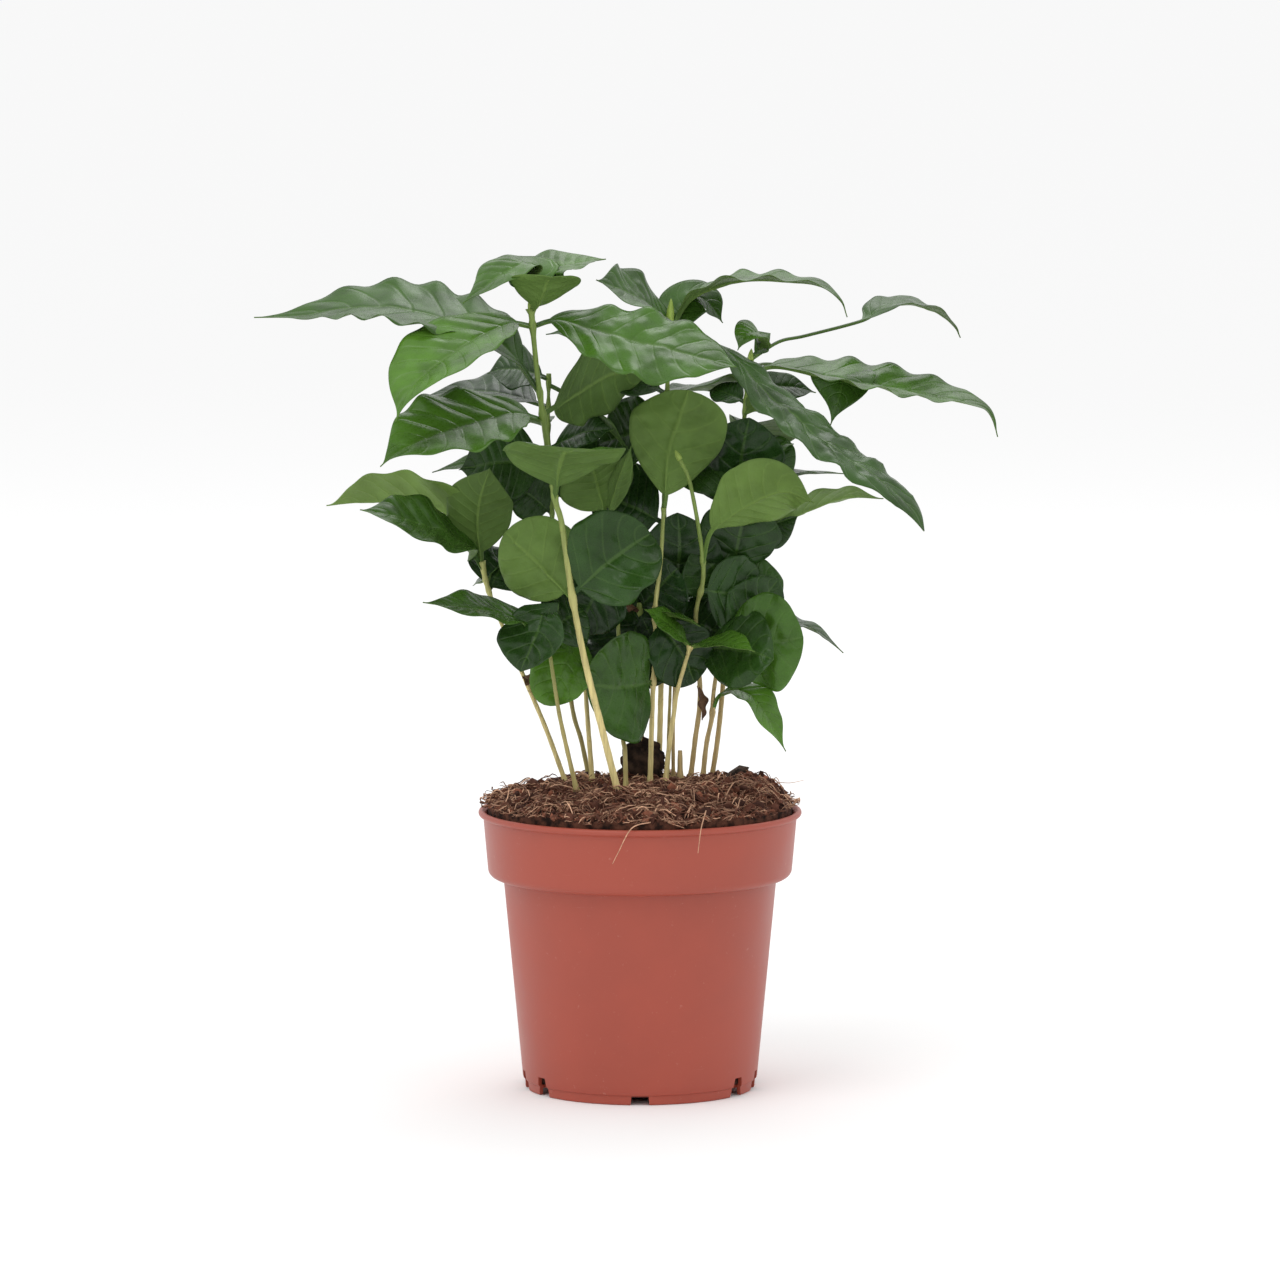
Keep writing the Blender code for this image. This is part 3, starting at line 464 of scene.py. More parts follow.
class Wires:
    """Short calls for adding nodes to the tree of one material or group."""

    def __init__(self, tree):
        self.tree = tree
        self.shader = tree.nodes.get("Principled BSDF")

    def set(self, socket, value):
        """Links another node's output, or sets a value; a plain colour gets its alpha here."""
        if isinstance(value, bpy.types.NodeSocket):
            self.tree.links.new(value, socket)
        elif value is not None:
            socket.default_value = (*value, 1) if socket.type == "RGBA" else value

    def add(self, kind, *values, **named):
        """A node with its inputs set by place or by name."""
        node = self.tree.nodes.new("ShaderNode" + kind)
        for socket, value in zip(node.inputs, values):
            self.set(socket, value)
        for label, value in named.items():
            self.set(node.inputs[label], value)
        return node

    def math(self, operation, *values):
        node = self.add("Math", *values)
        node.operation = operation
        return node.outputs[0]

    def ramp_value(self, value, low, high, to_low=0.0, to_high=1.0):
        node = self.add("MapRange", value, low, high, to_low, to_high)
        node.interpolation_type = "SMOOTHSTEP"
        return node.outputs[0]

    def noise(self, vector, scale, detail=3.0, roughness=0.55):
        node = self.add("TexNoise", Vector=vector, Scale=scale, Detail=detail, Roughness=roughness)
        return node.outputs["Fac"]

    def mix(self, share, a, b, blend="MIX"):
        node = self.tree.nodes.new("ShaderNodeMix")
        node.data_type = "RGBA"
        node.blend_type = blend
        for k, value in ((0, share), (6, a), (7, b)):
            self.set(node.inputs[k], value)
        return node.outputs[2]

    def scaled(self, vector, scale):
        return self.add("Mapping", Vector=vector, Scale=scale).outputs[0]

    def place(self):
        return self.add("TexCoord").outputs["Object"]

    def tone(self):
        node = self.add("Attribute")
        node.attribute_name = "tone"
        return node.outputs["Fac"]

    def group(self, name, maker, **named):
        """Outputs of a shared node group, which is made the first time that it is asked for."""
        node = self.tree.nodes.new("ShaderNodeGroup")
        node.node_tree = bpy.data.node_groups.get(name) or maker(name)
        for label, value in named.items():
            self.set(node.inputs[label], value)
        return node.outputs

    def mottle(self, place, size):
        return self.group("Mottle", mottle_group, Coordinates=place, Size=size)

    def finish(self, colour, relief, strength, depth, roughness=None):
        """Joins the colour, the bump of a relief and, where it varies, the roughness to the shader."""
        self.set(self.shader.inputs["Base Color"], colour)
        self.set(self.shader.inputs["Roughness"], roughness)
        bump = self.add("Bump", Height=relief, Strength=strength, Distance=depth)
        self.set(self.shader.inputs["Normal"], bump.outputs[0])


def vein_group(name):
    """Leaf veins on a blade's own map: x runs from base to tip, y from margin to margin. The midrib
    is at y 0.5; side veins leave it at even steps and sweep forwards, and a fine net lies between."""
    group, start, end = new_group(
        name,
        (("Map", "NodeSocketVector", None), ("Pairs", "NodeSocketFloat", 8.0)),
        (("Midrib", "NodeSocketFloat"), ("Side veins", "NodeSocketFloat"), ("Net", "NodeSocketFloat")))
    w = Wires(group)
    along, over, _ = w.add("SeparateXYZ", start.outputs["Map"]).outputs
    across = w.math("ABSOLUTE", w.math("MULTIPLY_ADD", over, 2.0, -1.0))
    sweep = w.math("MULTIPLY", w.math("POWER", across, 1.25), VEIN_SWEEP)
    wobble = w.math("MULTIPLY", w.noise(start.outputs["Map"], 5.0, 0.0), 0.012)
    place = w.math("ADD", w.math("SUBTRACT", along, sweep), wobble)
    step = w.math("FRACT", w.math("MULTIPLY", place, start.outputs["Pairs"]))
    away = w.math("ABSOLUTE", w.math("SUBTRACT", step, 0.5))
    side = w.ramp_value(away, 0.39, 0.5)
    fade = w.ramp_value(across, 1.0, 0.82)
    w.set(end.inputs["Side veins"], w.math("MULTIPLY", side, fade))
    w.set(end.inputs["Midrib"], w.ramp_value(across, 0.06, 0.02))
    cells = w.add("TexVoronoi", Vector=w.scaled(start.outputs["Map"], (2.4, 1.0, 1.0)), Scale=22.0)
    cells.feature = "DISTANCE_TO_EDGE"
    w.set(end.inputs["Net"], w.ramp_value(cells.outputs["Distance"], 0.12, 0.0))
    return group


def mottle_group(name):
    """Soft blotches and fine specks on object coordinates."""
    group, start, end = new_group(
        name,
        (("Coordinates", "NodeSocketVector", None), ("Size", "NodeSocketFloat", 60.0)),
        (("Blotch", "NodeSocketFloat"), ("Speck", "NodeSocketFloat")))
    w = Wires(group)
    w.set(end.inputs["Blotch"], w.noise(start.outputs["Coordinates"], start.outputs["Size"], 4.0, 0.6))
    fine = w.math("MULTIPLY", start.outputs["Size"], 14.0)
    w.set(end.inputs["Speck"], w.noise(start.outputs["Coordinates"], fine, 3.0, 0.7))
    return group


def new_material(name, roughness, specular=0.5):
    """A Principled material and the wires of its tree."""
    mat = bpy.data.materials.new(name)
    mat.use_nodes = True
    w = Wires(mat.node_tree)
    w.set(w.shader.inputs["Roughness"], roughness)
    w.set(w.shader.inputs["Specular IOR Level"], specular)
    return mat, w


def leaf_material(name, dark, light, vein, roughness, specular, upper):
    """A leaf side: colour from the blade's tone, paler veins, blotches of uneven tone that on the upper
    side also paint bright patches of light shining through the blade, and a relief of veins.
    """
    found = bpy.data.materials.get(name)
    if found:
        return found
    mat, w = new_material(name, roughness, specular)
    chart = w.add("UVMap")
    chart.uv_map = "Blade"
    veins = w.group("Leaf veins", vein_group, Map=chart.outputs[0], Pairs=PAIRS_LONG)
    mottle = w.mottle(w.place(), 55.0)
    # Brightness range of the blotches: uneven leaf tone on both sides; the wider upper range also paints
    # bright patches that stand in for light shining through the blade.
    blotch_and_painted_light_range = (0.74, 1.3) if upper else (0.84, 1.13)
    line_share, side_height, net_height = (0.34, -1.0, -0.05) if upper else (0.6, 1.0, 0.2)
    colour = w.mix(w.tone(), dark, light)
    colour = w.mix(1.0, colour, w.ramp_value(mottle["Blotch"], 0.32, 0.68, *blotch_and_painted_light_range), "MULTIPLY")
    lines = w.math("MAXIMUM", veins["Midrib"], w.math("MULTIPLY", veins["Side veins"], 0.5))
    colour = w.mix(w.math("MULTIPLY", lines, line_share), colour, vein)
    gloss = w.ramp_value(mottle["Speck"], 0.3, 0.75, roughness - 0.05, roughness + 0.08)
    relief = w.math("ADD", w.math("MULTIPLY", veins["Side veins"], side_height),
                    w.math("MULTIPLY", veins["Net"], net_height))
    relief = w.math("ADD", relief, w.math("MULTIPLY", mottle["Speck"], 0.06))
    w.finish(colour, relief, 0.4, 0.35 * MM, gloss)
    return mat


def foliage_materials(looks):
    return [
        leaf_material("Leaf upper side", looks.upper_dark, looks.upper_young, looks.vein,
                      looks.gloss, 0.27, True),
        leaf_material("Leaf lower side", looks.under_dark, looks.under_young, looks.under_vein,
                      0.55, 0.2, False)]


def stem_material(name, low, high, change_low, change_high):
    """Stem skin: one colour at the soil and another above, with streaks along it and small scars."""
    mat, w = new_material(name, 0.45, 0.4)
    place = w.place()
    height = w.add("SeparateXYZ", place).outputs[2]
    rise = w.ramp_value(height, RIM_Z + change_low, RIM_Z + change_high)
    streaks = w.noise(w.scaled(place, (900.0, 900.0, 60.0)), 1.0, 3.0, 0.6)
    scars = w.noise(w.scaled(place, (160.0, 160.0, 420.0)), 1.0, 4.0, 0.7)
    colour = w.mix(rise, low, high)
    colour = w.mix(1.0, colour, w.ramp_value(streaks, 0.3, 0.7, 0.78, 1.15), "MULTIPLY")
    colour = w.mix(w.ramp_value(scars, 0.6, 0.72, 0.0, 0.55), colour, (0.12, 0.07, 0.03))
    w.finish(colour, streaks, 0.4, 0.2 * MM, w.ramp_value(scars, 0.3, 0.7, 0.38, 0.62))
    return mat


def pot_material(looks):
    """Moulded plastic: even colour with soft clouding, a satin skin, faint scratches and splashes."""
    mat, w = new_material("Terracotta plastic", looks.roughness, 0.5)
    place = w.place()
    height = w.add("SeparateXYZ", place).outputs[2]
    mottle = w.mottle(place, 22.0)
    grain = w.noise(place, 1400.0, 2.0, 0.6)
    marks = w.noise(w.scaled(place, (60.0, 60.0, 900.0)), 1.0, 5.0, 0.75)
    dust = w.noise(place, 420.0, 4.0, 0.75)
    colour = w.mix(w.ramp_value(mottle["Blotch"], 0.35, 0.65), looks.colour,
                   [v * 1.08 for v in looks.colour])
    low = w.ramp_value(height, 16 * MM, 0.0, 0.0, 0.35)
    specks = w.math("MULTIPLY", w.ramp_value(dust, 0.64, 0.74), w.math("ADD", low, 0.22))
    scratch = w.math("MULTIPLY", w.ramp_value(marks, 0.66, 0.74), 0.14)
    colour = w.mix(w.math("MAXIMUM", specks, scratch), colour, (0.62, 0.36, 0.28))
    rough = w.ramp_value(mottle["Blotch"], 0.3, 0.7, looks.roughness - 0.05, looks.roughness + 0.06)
    rough = w.math("ADD", rough, w.math("MULTIPLY", scratch, 0.8))
    w.finish(colour, grain, 0.12, 0.1 * MM, rough)
    return mat


def clot_material(name, roughness, specular, dark, light, size, spread, strength, depth):
    """Earth, bark or dried leaf: clots from dark to light, and a rough bump."""
    mat, w = new_material(name, roughness, specular)
    mottle = w.mottle(w.place(), size)
    colour = w.mix(w.ramp_value(mottle["Blotch"], *spread), dark, light)
    w.finish(colour, mottle["Speck"], strength, depth)
    return mat


def litter_material(name, dark, light, roughness):
    """Loose bits: colour from each bit's own tone."""
    mat, w = new_material(name, roughness, 0.25)
    mottle = w.mottle(w.place(), 600.0)
    colour = w.mix(w.tone(), dark, light)
    colour = w.mix(1.0, colour, w.ramp_value(mottle["Blotch"], 0.3, 0.7, 0.7, 1.25), "MULTIPLY")
    w.finish(colour, mottle["Speck"], 0.5, 0.3 * MM)
    return mat


# ---------------------------------------------------------------- pot

def ring_cutter(notches):
    """Wedges that narrow upwards, one for each notch (angle from the front, low width, top width,
    height), as eight-cornered boxes across the foot of the wall."""
    box = np.array([(3, 2, 1, 0), (4, 5, 6, 7), (1, 5, 4, 0), (2, 6, 5, 1), (3, 7, 6, 2), (0, 4, 7, 3)])
    points, faces = [], []
    for angle, (low_width, top_width, height) in notches:
        turn = math.radians(angle)
        out = np.array((math.sin(turn), -math.cos(turn), 0))
        side = np.array((math.cos(turn), math.sin(turn), 0))
        faces.append(box + len(points))
        for z, width in ((-2 * MM, low_width), (height, top_width)):
            for r, s in ((-NOTCH_IN, -1), (NOTCH_OUT, -1), (NOTCH_OUT, 1), (-NOTCH_IN, 1)):
                points.append(out * (BODY_BASE_R + r) + side * (s * width / 2) + (0, 0, z))
    return put_mesh("notch_cutter", np.array(points), np.vstack(faces), [], smooth=False)


def arc(centre, radius, start, stop, count):
    """Points (radius, height) of an arc between two angles in degrees."""
    turn = np.radians(np.linspace(start, stop, count))
    return [(centre[0] + radius * math.cos(a), centre[1] + radius * math.sin(a)) for a in turn]


def pot_profile():
    """The wall's outline (radius, height) from the middle of the floor's underside, round the foot,
    up the outside, over the lip and down the inside to the middle of the floor."""
    lines = [(AXIS_R, FLOOR_LOW), (BODY_BASE_R - 6 * MM, FLOOR_LOW), (BODY_BASE_R - 2.3 * MM, FLOOR_LOW)]
    lines += [(BODY_BASE_R - 2.4 * MM, 0.3 * MM), (BODY_BASE_R - 2.1 * MM, 0.0)]
    lines += [(BODY_BASE_R - 1.2 * MM, 0.0), (BODY_BASE_R - 0.9 * MM, 0.3 * MM)]
    lines += [(BODY_BASE_R - 0.65 * MM, 3.3 * MM), (BODY_BASE_R - 0.1 * MM, 3.7 * MM)]
    rise = np.concatenate([[4.4, 7, 9.6, 12], np.linspace(18, 74, 15)]) * MM
    slope = (BODY_TOP_R - BODY_BASE_R) / (COLLAR_Z - LEDGE_Z)
    lines += [(BODY_BASE_R + slope * (z - LEDGE_Z), z) for z in rise]
    lines += arc((BODY_TOP_R + 0.5 * MM, COLLAR_Z - 0.5 * MM), 0.5 * MM, 180, 95, 5)
    lines += [(COLLAR_FOOT_R - 3.2 * MM, COLLAR_Z)]
    lines += arc((COLLAR_FOOT_R - 3 * MM, COLLAR_Z + 3 * MM), 3 * MM, -88, 0, 10)
    lines += [(COLLAR_FOOT_R + (COLLAR_R - COLLAR_FOOT_R) * s, COLLAR_Z + (3 + 19 * s) * MM)
              for s in (0.15, 0.4, 0.7, 0.96)]
    lines += [(COLLAR_R + 0.1 * MM, RIM_Z - 2.75 * MM), (COLLAR_R + 0.7 * MM, RIM_Z - 2.55 * MM)]
    lines += arc((LIP_R - 1.2 * MM, RIM_Z - 1.2 * MM), 1.2 * MM, -50, 125, 14)
    lines += [(MOUTH_R + 0.1 * MM, RIM_Z - 1.0 * MM), (MOUTH_R, RIM_Z - 2 * MM)]
    lines += [(COLLAR_FOOT_R - WALL, COLLAR_Z + 1.6 * MM), (BODY_TOP_R - WALL, COLLAR_Z + 0.7 * MM)]
    lines += [(BODY_BASE_R - WALL - 0.3 * MM, 4.2 * MM), (BODY_BASE_R - WALL - 0.6 * MM, FLOOR_TOP)]
    lines += [(AXIS_R, FLOOR_TOP)]
    return np.array(lines)


def make_pot(looks):
    """A turned surface: each outline point's radius times (cos a, sin a), with the height as it is.
    A very slight wave of the radius stands for moulding shrinkage. The notches are cut after."""
    profile = pot_profile()
    turn = np.linspace(0, 2 * math.pi, looks.steps, endpoint=False)
    radius = profile[:, :1] * (1 + 0.0006 * np.sin(3 * turn + 0.4)[None])
    height = np.broadcast_to(profile[:, 1:], radius.shape)
    points = np.stack([radius * np.cos(turn), radius * np.sin(turn), height], -1)
    body = put_mesh("pot_body", points, grid_faces(len(profile), looks.steps, wrap=True), [], poles=True)
    notches = [(angle, SHALLOW_NOTCH) for angle in SHALLOW_NOTCHES]
    notches += [(side * angle, DEEP_NOTCH) for angle in DEEP_NOTCHES for side in (1, -1)]
    cutter = ring_cutter(notches)
    cut = body.modifiers.new("notches", "BOOLEAN")
    cut.operation = "DIFFERENCE"
    cut.solver = "EXACT"
    cut.object = cutter
    bpy.context.view_layer.update()
    shaped = bpy.data.meshes.new_from_object(body.evaluated_get(bpy.context.evaluated_depsgraph_get()))
    body.modifiers.clear()
    body.data = shaped
    bpy.data.objects.remove(cutter)
    shaped.shade_smooth()
    shaped.set_sharp_from_angle(angle=math.radians(CREASE))
    shaped.materials.clear()
    shaped.materials.append(pot_material(looks))
    finish_piece(body, "pot", "pot")


# ---------------------------------------------------------------- soil

def soil_base(x, y):
    """Height of the even mound: the crown falls to the rim with the fourth power of the radius."""
    share = np.minimum(1.0, np.hypot(x, y) / MOUTH_R)
    mound = SOIL_CROWN * (1 - share**4)
    humps = 1.2 * MM * np.sin(0.19e3 * x + 0.6) * np.cos(0.16e3 * y) * (1 - share**4)
    return RIM_Z - SOIL_BELOW_RIM + mound + humps


def soil_surface(x, y):
    """The mound with clods and heaps: three sizes of lattice noise, which calm down towards the pot's
    wall, two bell-shaped heaps, and a brim that rises to the lip."""
    share = np.minimum(1.0, np.hypot(x, y) / MOUTH_R)
    rough = sum(size * MM * lattice_noise(x, y, cell * MM, seed) for cell, size, seed in CLODS)
    heap = sum(size * MM * np.exp(-((x - cx * MM) ** 2 + (y - cy * MM) ** 2) / (spread * MM) ** 2)
               for cx, cy, spread, size in HEAPS)
    brim = SOIL_BRIM * smooth_step(0.66, 1.0, share)
    return soil_base(x, y) + rough * (1 - 0.55 * share**6) + heap * (1 - share**14) + brim - 0.6 * MM


def make_soil(looks):
    """The body of earth: the mound on a polar grid, then down inside the pot's wall to the floor."""
    turn = np.linspace(0, 2 * math.pi, SOIL_STEPS, endpoint=False)
    share = np.linspace(0.00001, 1, SOIL_RINGS)
    rim = MOUTH_R - 0.3 * MM
    x = rim * share[:, None] * np.cos(turn)
    y = rim * share[:, None] * np.sin(turn)
    top = np.stack([x, y, soil_surface(x, y)], -1)
    wall = []
    for radius, height in ((COLLAR_FOOT_R - WALL - 0.4 * MM, COLLAR_Z + 2.2 * MM),
                           (BODY_TOP_R - WALL - 0.5 * MM, COLLAR_Z + 1.4 * MM),
                           (BODY_BASE_R - WALL - 0.7 * MM, SOIL_FLOOR), (AXIS_R, SOIL_FLOOR)):
        wall.append(np.stack([radius * np.cos(turn), radius * np.sin(turn), 0 * turn + height], -1))
    points = np.concatenate([top, np.array(wall)])
    faces = grid_faces(len(points), SOIL_STEPS, wrap=True, flip=True)
    earth = clot_material("Peat", 0.95, 0.2, looks.peat_dark, looks.peat_light, 260.0, (0.35, 0.68),
                          0.8, 0.8 * MM)
    item = put_mesh("soil_mound", points, faces, [earth], poles=True)
    finish_piece(item, "soil", "soil")


def random_turns(rng, count):
    """Random rotation matrices from unit quaternions."""
    q = unit(rng.normal(size=(count, 4)))
    a, b, c, d = q.T
    return np.stack([
        np.stack([1 - 2 * (c * c + d * d), 2 * (b * c - d * a), 2 * (b * d + c * a)], -1),
        np.stack([2 * (b * c + d * a), 1 - 2 * (b * b + d * d), 2 * (c * d - b * a)], -1),
        np.stack([2 * (b * d - c * a), 2 * (c * d + b * a), 1 - 2 * (b * b + c * c)], -1)], -2)


def scatter(rng, count, outer):
    """Places spread evenly over the soil's disc, up to a share of its radius."""
    radius = MOUTH_R * np.sqrt(rng.uniform(0, outer**2, count))
    turn = rng.uniform(0, 2 * math.pi, count)
    return radius * np.cos(turn), radius * np.sin(turn)


def lumps(rng, count, low, high, flatness):
    """Twelve-cornered lumps (an icosahedron with uneven corners), stretched and turned at random."""
    gold = (1 + math.sqrt(5)) / 2
    corners = []
    for s in (-1, 1):
        for t in (-gold, gold):
            corners += [(0, s, t), (s, t, 0), (t, 0, s)]
    corners = unit(np.array(corners))
    near = np.linalg.norm(corners[:, None] - corners[None], axis=-1) < 1.2
    faces = []
    for i, j, k in combinations(range(12), 3):
        if near[i, j] and near[j, k] and near[i, k]:
            out = np.dot(np.cross(corners[j] - corners[i], corners[k] - corners[i]), corners[i])
            faces.append((i, j, k) if out > 0 else (i, k, j))
    size = np.exp(rng.uniform(math.log(low), math.log(high), count))
    stretch = rng.uniform(0.6, 1.4, (count, 1, 3)) * (1, 1, flatness)
    uneven = rng.uniform(0.7, 1.25, (count, 12, 1))
    shape = corners[None] * uneven * stretch * size[:, None, None]
    shape = np.einsum("nij,nkj->nki", random_turns(rng, count), shape)
    x, y = scatter(rng, count, 0.99)
    z = soil_surface(x, y) + 0.25 * size
    points = shape + np.stack([x, y, z], -1)[:, None]
    indices = np.array(faces)[None] + 12 * np.arange(count)[:, None, None]
    return points.reshape(-1, 3), indices.reshape(-1, 3), np.repeat(rng.uniform(0, 1, count), 12)


def fibres(rng, count, length_low, length_high, thickness, lift):
    """Thin curved fibres: each is a three-sided tube on an arc that starts on the soil, runs along
    it in a random direction, bends sideways and rises and falls once. Its ends come to a point."""
    rings, sides = 8, 3
    x, y = scatter(rng, count, 1.0)
    t = np.linspace(0, 1, rings)[None]
    length = rng.uniform(length_low, length_high, (count, 1))
    heading = rng.uniform(0, 2 * math.pi, (count, 1)) + rng.normal(0, 0.32, (count, 1)) * (t - 0.5)
    step = length / (rings - 1)
    px = x[:, None] + np.cumsum(np.cos(heading) * step, axis=1)
    py = y[:, None] + np.cumsum(np.sin(heading) * step, axis=1)
    reach = np.hypot(px, py)
    limit = LIP_R - 0.6 * MM
    px, py = px * np.minimum(1, limit / reach), py * np.minimum(1, limit / reach)
    hop = rng.uniform(0.05, 1.0, (count, 1)) * lift
    slant = rng.normal(0, 0.35, (count, 1)) * length
    pz = soil_surface(px, py) + 0.3 * MM + hop * np.sin(math.pi * t)
    pz = pz + np.abs(slant) * (t - 0.5).clip(0) * 0.6
    centre = np.stack([px, py, pz], -1)
    along = unit(np.gradient(centre, axis=1))
    side = unit(np.cross(along, (0, 0, 1.0)))
    up = np.cross(side, along)
    width = rng.uniform(0.5, 1.2, (count, 1)) * thickness * (1 - 0.75 * (2 * t - 1) ** 4)
    width[:, [0, -1]] = 0
    turn = np.arange(sides) * 2 * math.pi / sides
    points = centre[:, :, None] + width[:, :, None, None] * (
        side[:, :, None] * np.cos(turn)[:, None] + up[:, :, None] * np.sin(turn)[:, None])
    quads = grid_faces(rings, sides, wrap=True, flip=True)
    indices = quads[None] + rings * sides * np.arange(count)[:, None, None]
    tone = np.repeat(rng.uniform(0, 1, count) ** 1.9, rings * sides)
    return points.reshape(-1, 3), indices.reshape(-1, 4), tone


def make_litter(looks):
    """Crumbs, flat bark bits and three kinds of coir fibre, each kind one piece."""
    rng = np.random.default_rng(LITTER_SEED)
    crumbs = litter_material("Peat crumbs", looks.crumb_dark, looks.crumb_light, 0.85)
    straw = litter_material("Coir fibre", looks.fibre_dark, looks.fibre_light, 0.7)
    for name, count, low, high, flat, shade in (
            ("soil_crumbs_small", looks.crumbs, 0.3, 0.9, 0.8, 1),
            ("soil_crumbs_large", looks.crumbs // 12, 0.9, 2.0, 0.6, 1),
            ("soil_bark_bits", looks.crumbs // 14, 1.0, 2.8, 0.3, 0.35)):
        points, faces, tone = lumps(rng, count, low * MM, high * MM, flat)
        item = put_mesh(name, points, faces, [crumbs], tone=tone * shade, smooth=False)
        finish_piece(item, "soil")
    for name, count, low, high, thick, lift in (
            ("soil_fibres_short", looks.fibres, 2.0, 6.0, 0.17, 1.1),
            ("soil_straws", looks.fibres // 14, 3.0, 9.0, 0.34, 2.2),
            ("soil_fibres_long", looks.fibres // 5, 6.0, 15.0, 0.26, 3.0)):
        points, faces, tone = fibres(rng, count, low * MM, high * MM, thick * MM, lift * MM)
        finish_piece(put_mesh(name, points, faces, [straw], tone=tone, poles=True), "soil")


# Loose strands, in mm: radius, then points (x, y, height above the rim)
STRANDS = {
    "strand_over_rim_left": (0.28, (
        (6, -52, 3), (4, -56, 2.6), (-3, -60.5, 1), (-8, -61.5, -8), (-10, -61, -12))),
    "strand_over_rim_left_end": (0.22, ((6, -52, 3), (12, -57, 2.0), (16, -60, 1.0))),
    "strand_over_rim_right": (0.26, ((24, -50, 6), (23, -56, 3.5), (22, -60.8, 0), (21, -61.6, -8))),
    "strand_right_edge": (0.2, ((46, 8, 7), (51, 8, 8.6), (56, 8, 8.6), (61, 8, 9.6))),
    "strand_back_left": (0.45, ((-25, 30, 6), (-24, 29, 10), (-20, 27, 9), (-17, 26, 6))),
    "twig_left": (0.9, ((-24.5, 18, 5), (-22, 18, 10.5), (-18, 17, 8.5), (-15, 16, 4.5))),
}


def make_strands():
    """Round tubes that thin out, on smooth curves through each strand's points."""
    straw = bpy.data.materials["Coir fibre"]
    for name, (radius, points) in STRANDS.items():
        path = smooth_path(np.array(points, float) * MM + (0, 0, RIM_Z), 28)
        share = np.linspace(0, 1, len(path))
        rings, faces = closed_tube(path, radius * MM * (1 - 0.6 * share), 8)
        finish_piece(put_mesh(name, rings, faces, [straw], tone=0.65, poles=True), "soil")


def bark_points(rows, sides):
    """A leaning flake: an uneven oval carried upwards, its size and lean changing with height, with
    ridges along it."""
    x0, y0 = BARK_CENTRE
    width, depth, height = BARK_SIZE
    base = float(soil_base(x0 * MM, y0 * MM)) - 3 * MM
    share = np.linspace(0, 1, rows)[:, None]
    turn = np.linspace(0, 2 * math.pi, sides, endpoint=False)[None]
    size = np.interp(share, (0, 0.35, 0.7, 0.93, 1.0), (0.92, 1.0, 0.92, 0.74, 0.05))
    lean = np.interp(share, (0, 0.35, 0.7, 1.0), (0, 0.3, 0.6, 0.2))
    ridge = 1 + 0.07 * np.sin(7 * turn + 2 * share) + 0.05 * np.sin(17 * turn + 5 * share)
    knots = lattice_noise(np.cos(turn) * 4 + 9, np.sin(turn) * 4 + share * 14 + 9, 1.3, 8)
    ridge = ridge + 0.2 * knots
    square = 1 / (np.abs(np.cos(turn)) ** 4 + np.abs(np.sin(turn)) ** 4) ** 0.25
    x = (x0 + lean + np.cos(turn) * square * width / 2 * size * ridge * 0.97) * MM
    y = (y0 + np.sin(turn) * square * depth / 2 * size * ridge * 0.9) * MM
    top = height + 3 + (1.5 * np.sin(turn * 2 + 0.7) + 0.8 * np.sin(turn * 5)) * share**4
    return np.stack([x, y, base + share * top * MM * np.ones_like(turn)], -1)


def make_bark():
    """The leaning flake, closed at both ends, and a flat chip that lies on the soil."""
    rows, sides = 40, 48
    points = bark_points(rows, sides)
    foot, tip = points[:1].mean(1, keepdims=True), points[-1:].mean(1, keepdims=True)
    points = np.concatenate([foot + END_SHARE * (points[:1] - foot), points,
                             tip + END_SHARE * (points[-1:] - tip)])
    mat = clot_material("Bark", 0.85, 0.2, (0.012, 0.007, 0.005), (0.085, 0.05, 0.034), 190.0,
                        (0.35, 0.68), 0.8, 0.8 * MM)
    item = put_mesh("bark_flake", points, grid_faces(len(points), sides, wrap=True), [mat], poles=True)
    finish_piece(item, "bark", "bark_chunk")
    chip, faces, _ = lumps(np.random.default_rng(CHIP_SEED), 1, 4.4 * MM, 4.5 * MM, 0.6)
    chip = (chip - chip.mean(0)) * CHIP_STRETCH + np.array(CHIP_PLACE) * MM + (0, 0, RIM_Z)
    finish_piece(put_mesh("bark_chip", chip, faces, [mat], smooth=False), "bark")


# ---------------------------------------------------------------- stems

def stem_path(name, count=90):
    """A smooth curve from the stem's foot on the soil through its points."""
    _, _, foot, above = STEMS[name]
    x, y = (v * MM for v in foot)
    points = [(x, y, float(soil_base(x, y)))]
    points += [(px * MM, py * MM, RIM_Z + pz * MM) for px, py, pz in above]
    return smooth_path(points, count)


def node_heights(name):
    """Heights above the rim of the stem's leaf nodes."""
    every = list(LEAVES.values()) + list(SMALL_LEAVES.values())
    return [leaf[1] for leaf in every if leaf[0] == name]


def stem_radii(name, path):
    """Radius along a stem: thinner towards the top, swollen at the foot and at each leaf node."""
    share = np.linspace(0, 1, len(path))
    radius = STEMS[name][0] * MM * (1 - 0.3 * share)
    height = (path[:, 2] - RIM_Z) / MM
    for node in node_heights(name):
        radius = radius + 0.45 * MM * np.exp(-((height - node) / 1.6) ** 2)
    radius = radius + 0.35 * MM * np.exp(-((height - height[0]) / 3.0) ** 2)
    return radius * (1 + 0.04 * np.sin(height * 0.9))


def make_stems(looks):
    """Tubes along the stems' paths, each from a little under the soil to the top."""
    skins = [stem_material(title, foot_colour, looks.stem_top, low * MM, high * MM)
             for title, foot_colour, low, high in (("Straw stem", looks.stem_base, 30, 130),
                                                   ("Olive stem", looks.stem_olive, 20, 90),
                                                   ("Tan stem", looks.stem_tan, 30, 100))]
    for name in STEMS:
        path = stem_path(name)
        radii = stem_radii(name, path)
        foot = path[:1] - (0, 0, STEM_BURY)
        points, faces = closed_tube(np.vstack([foot, path]), np.append(radii[0], radii), STEM_SIDES)
        item = put_mesh("v_" + name, points, faces, [skins[STEMS[name][1]]], poles=True)
        finish_piece(item, CAD_SLOTS[name], name)


# ---------------------------------------------------------------- leaves

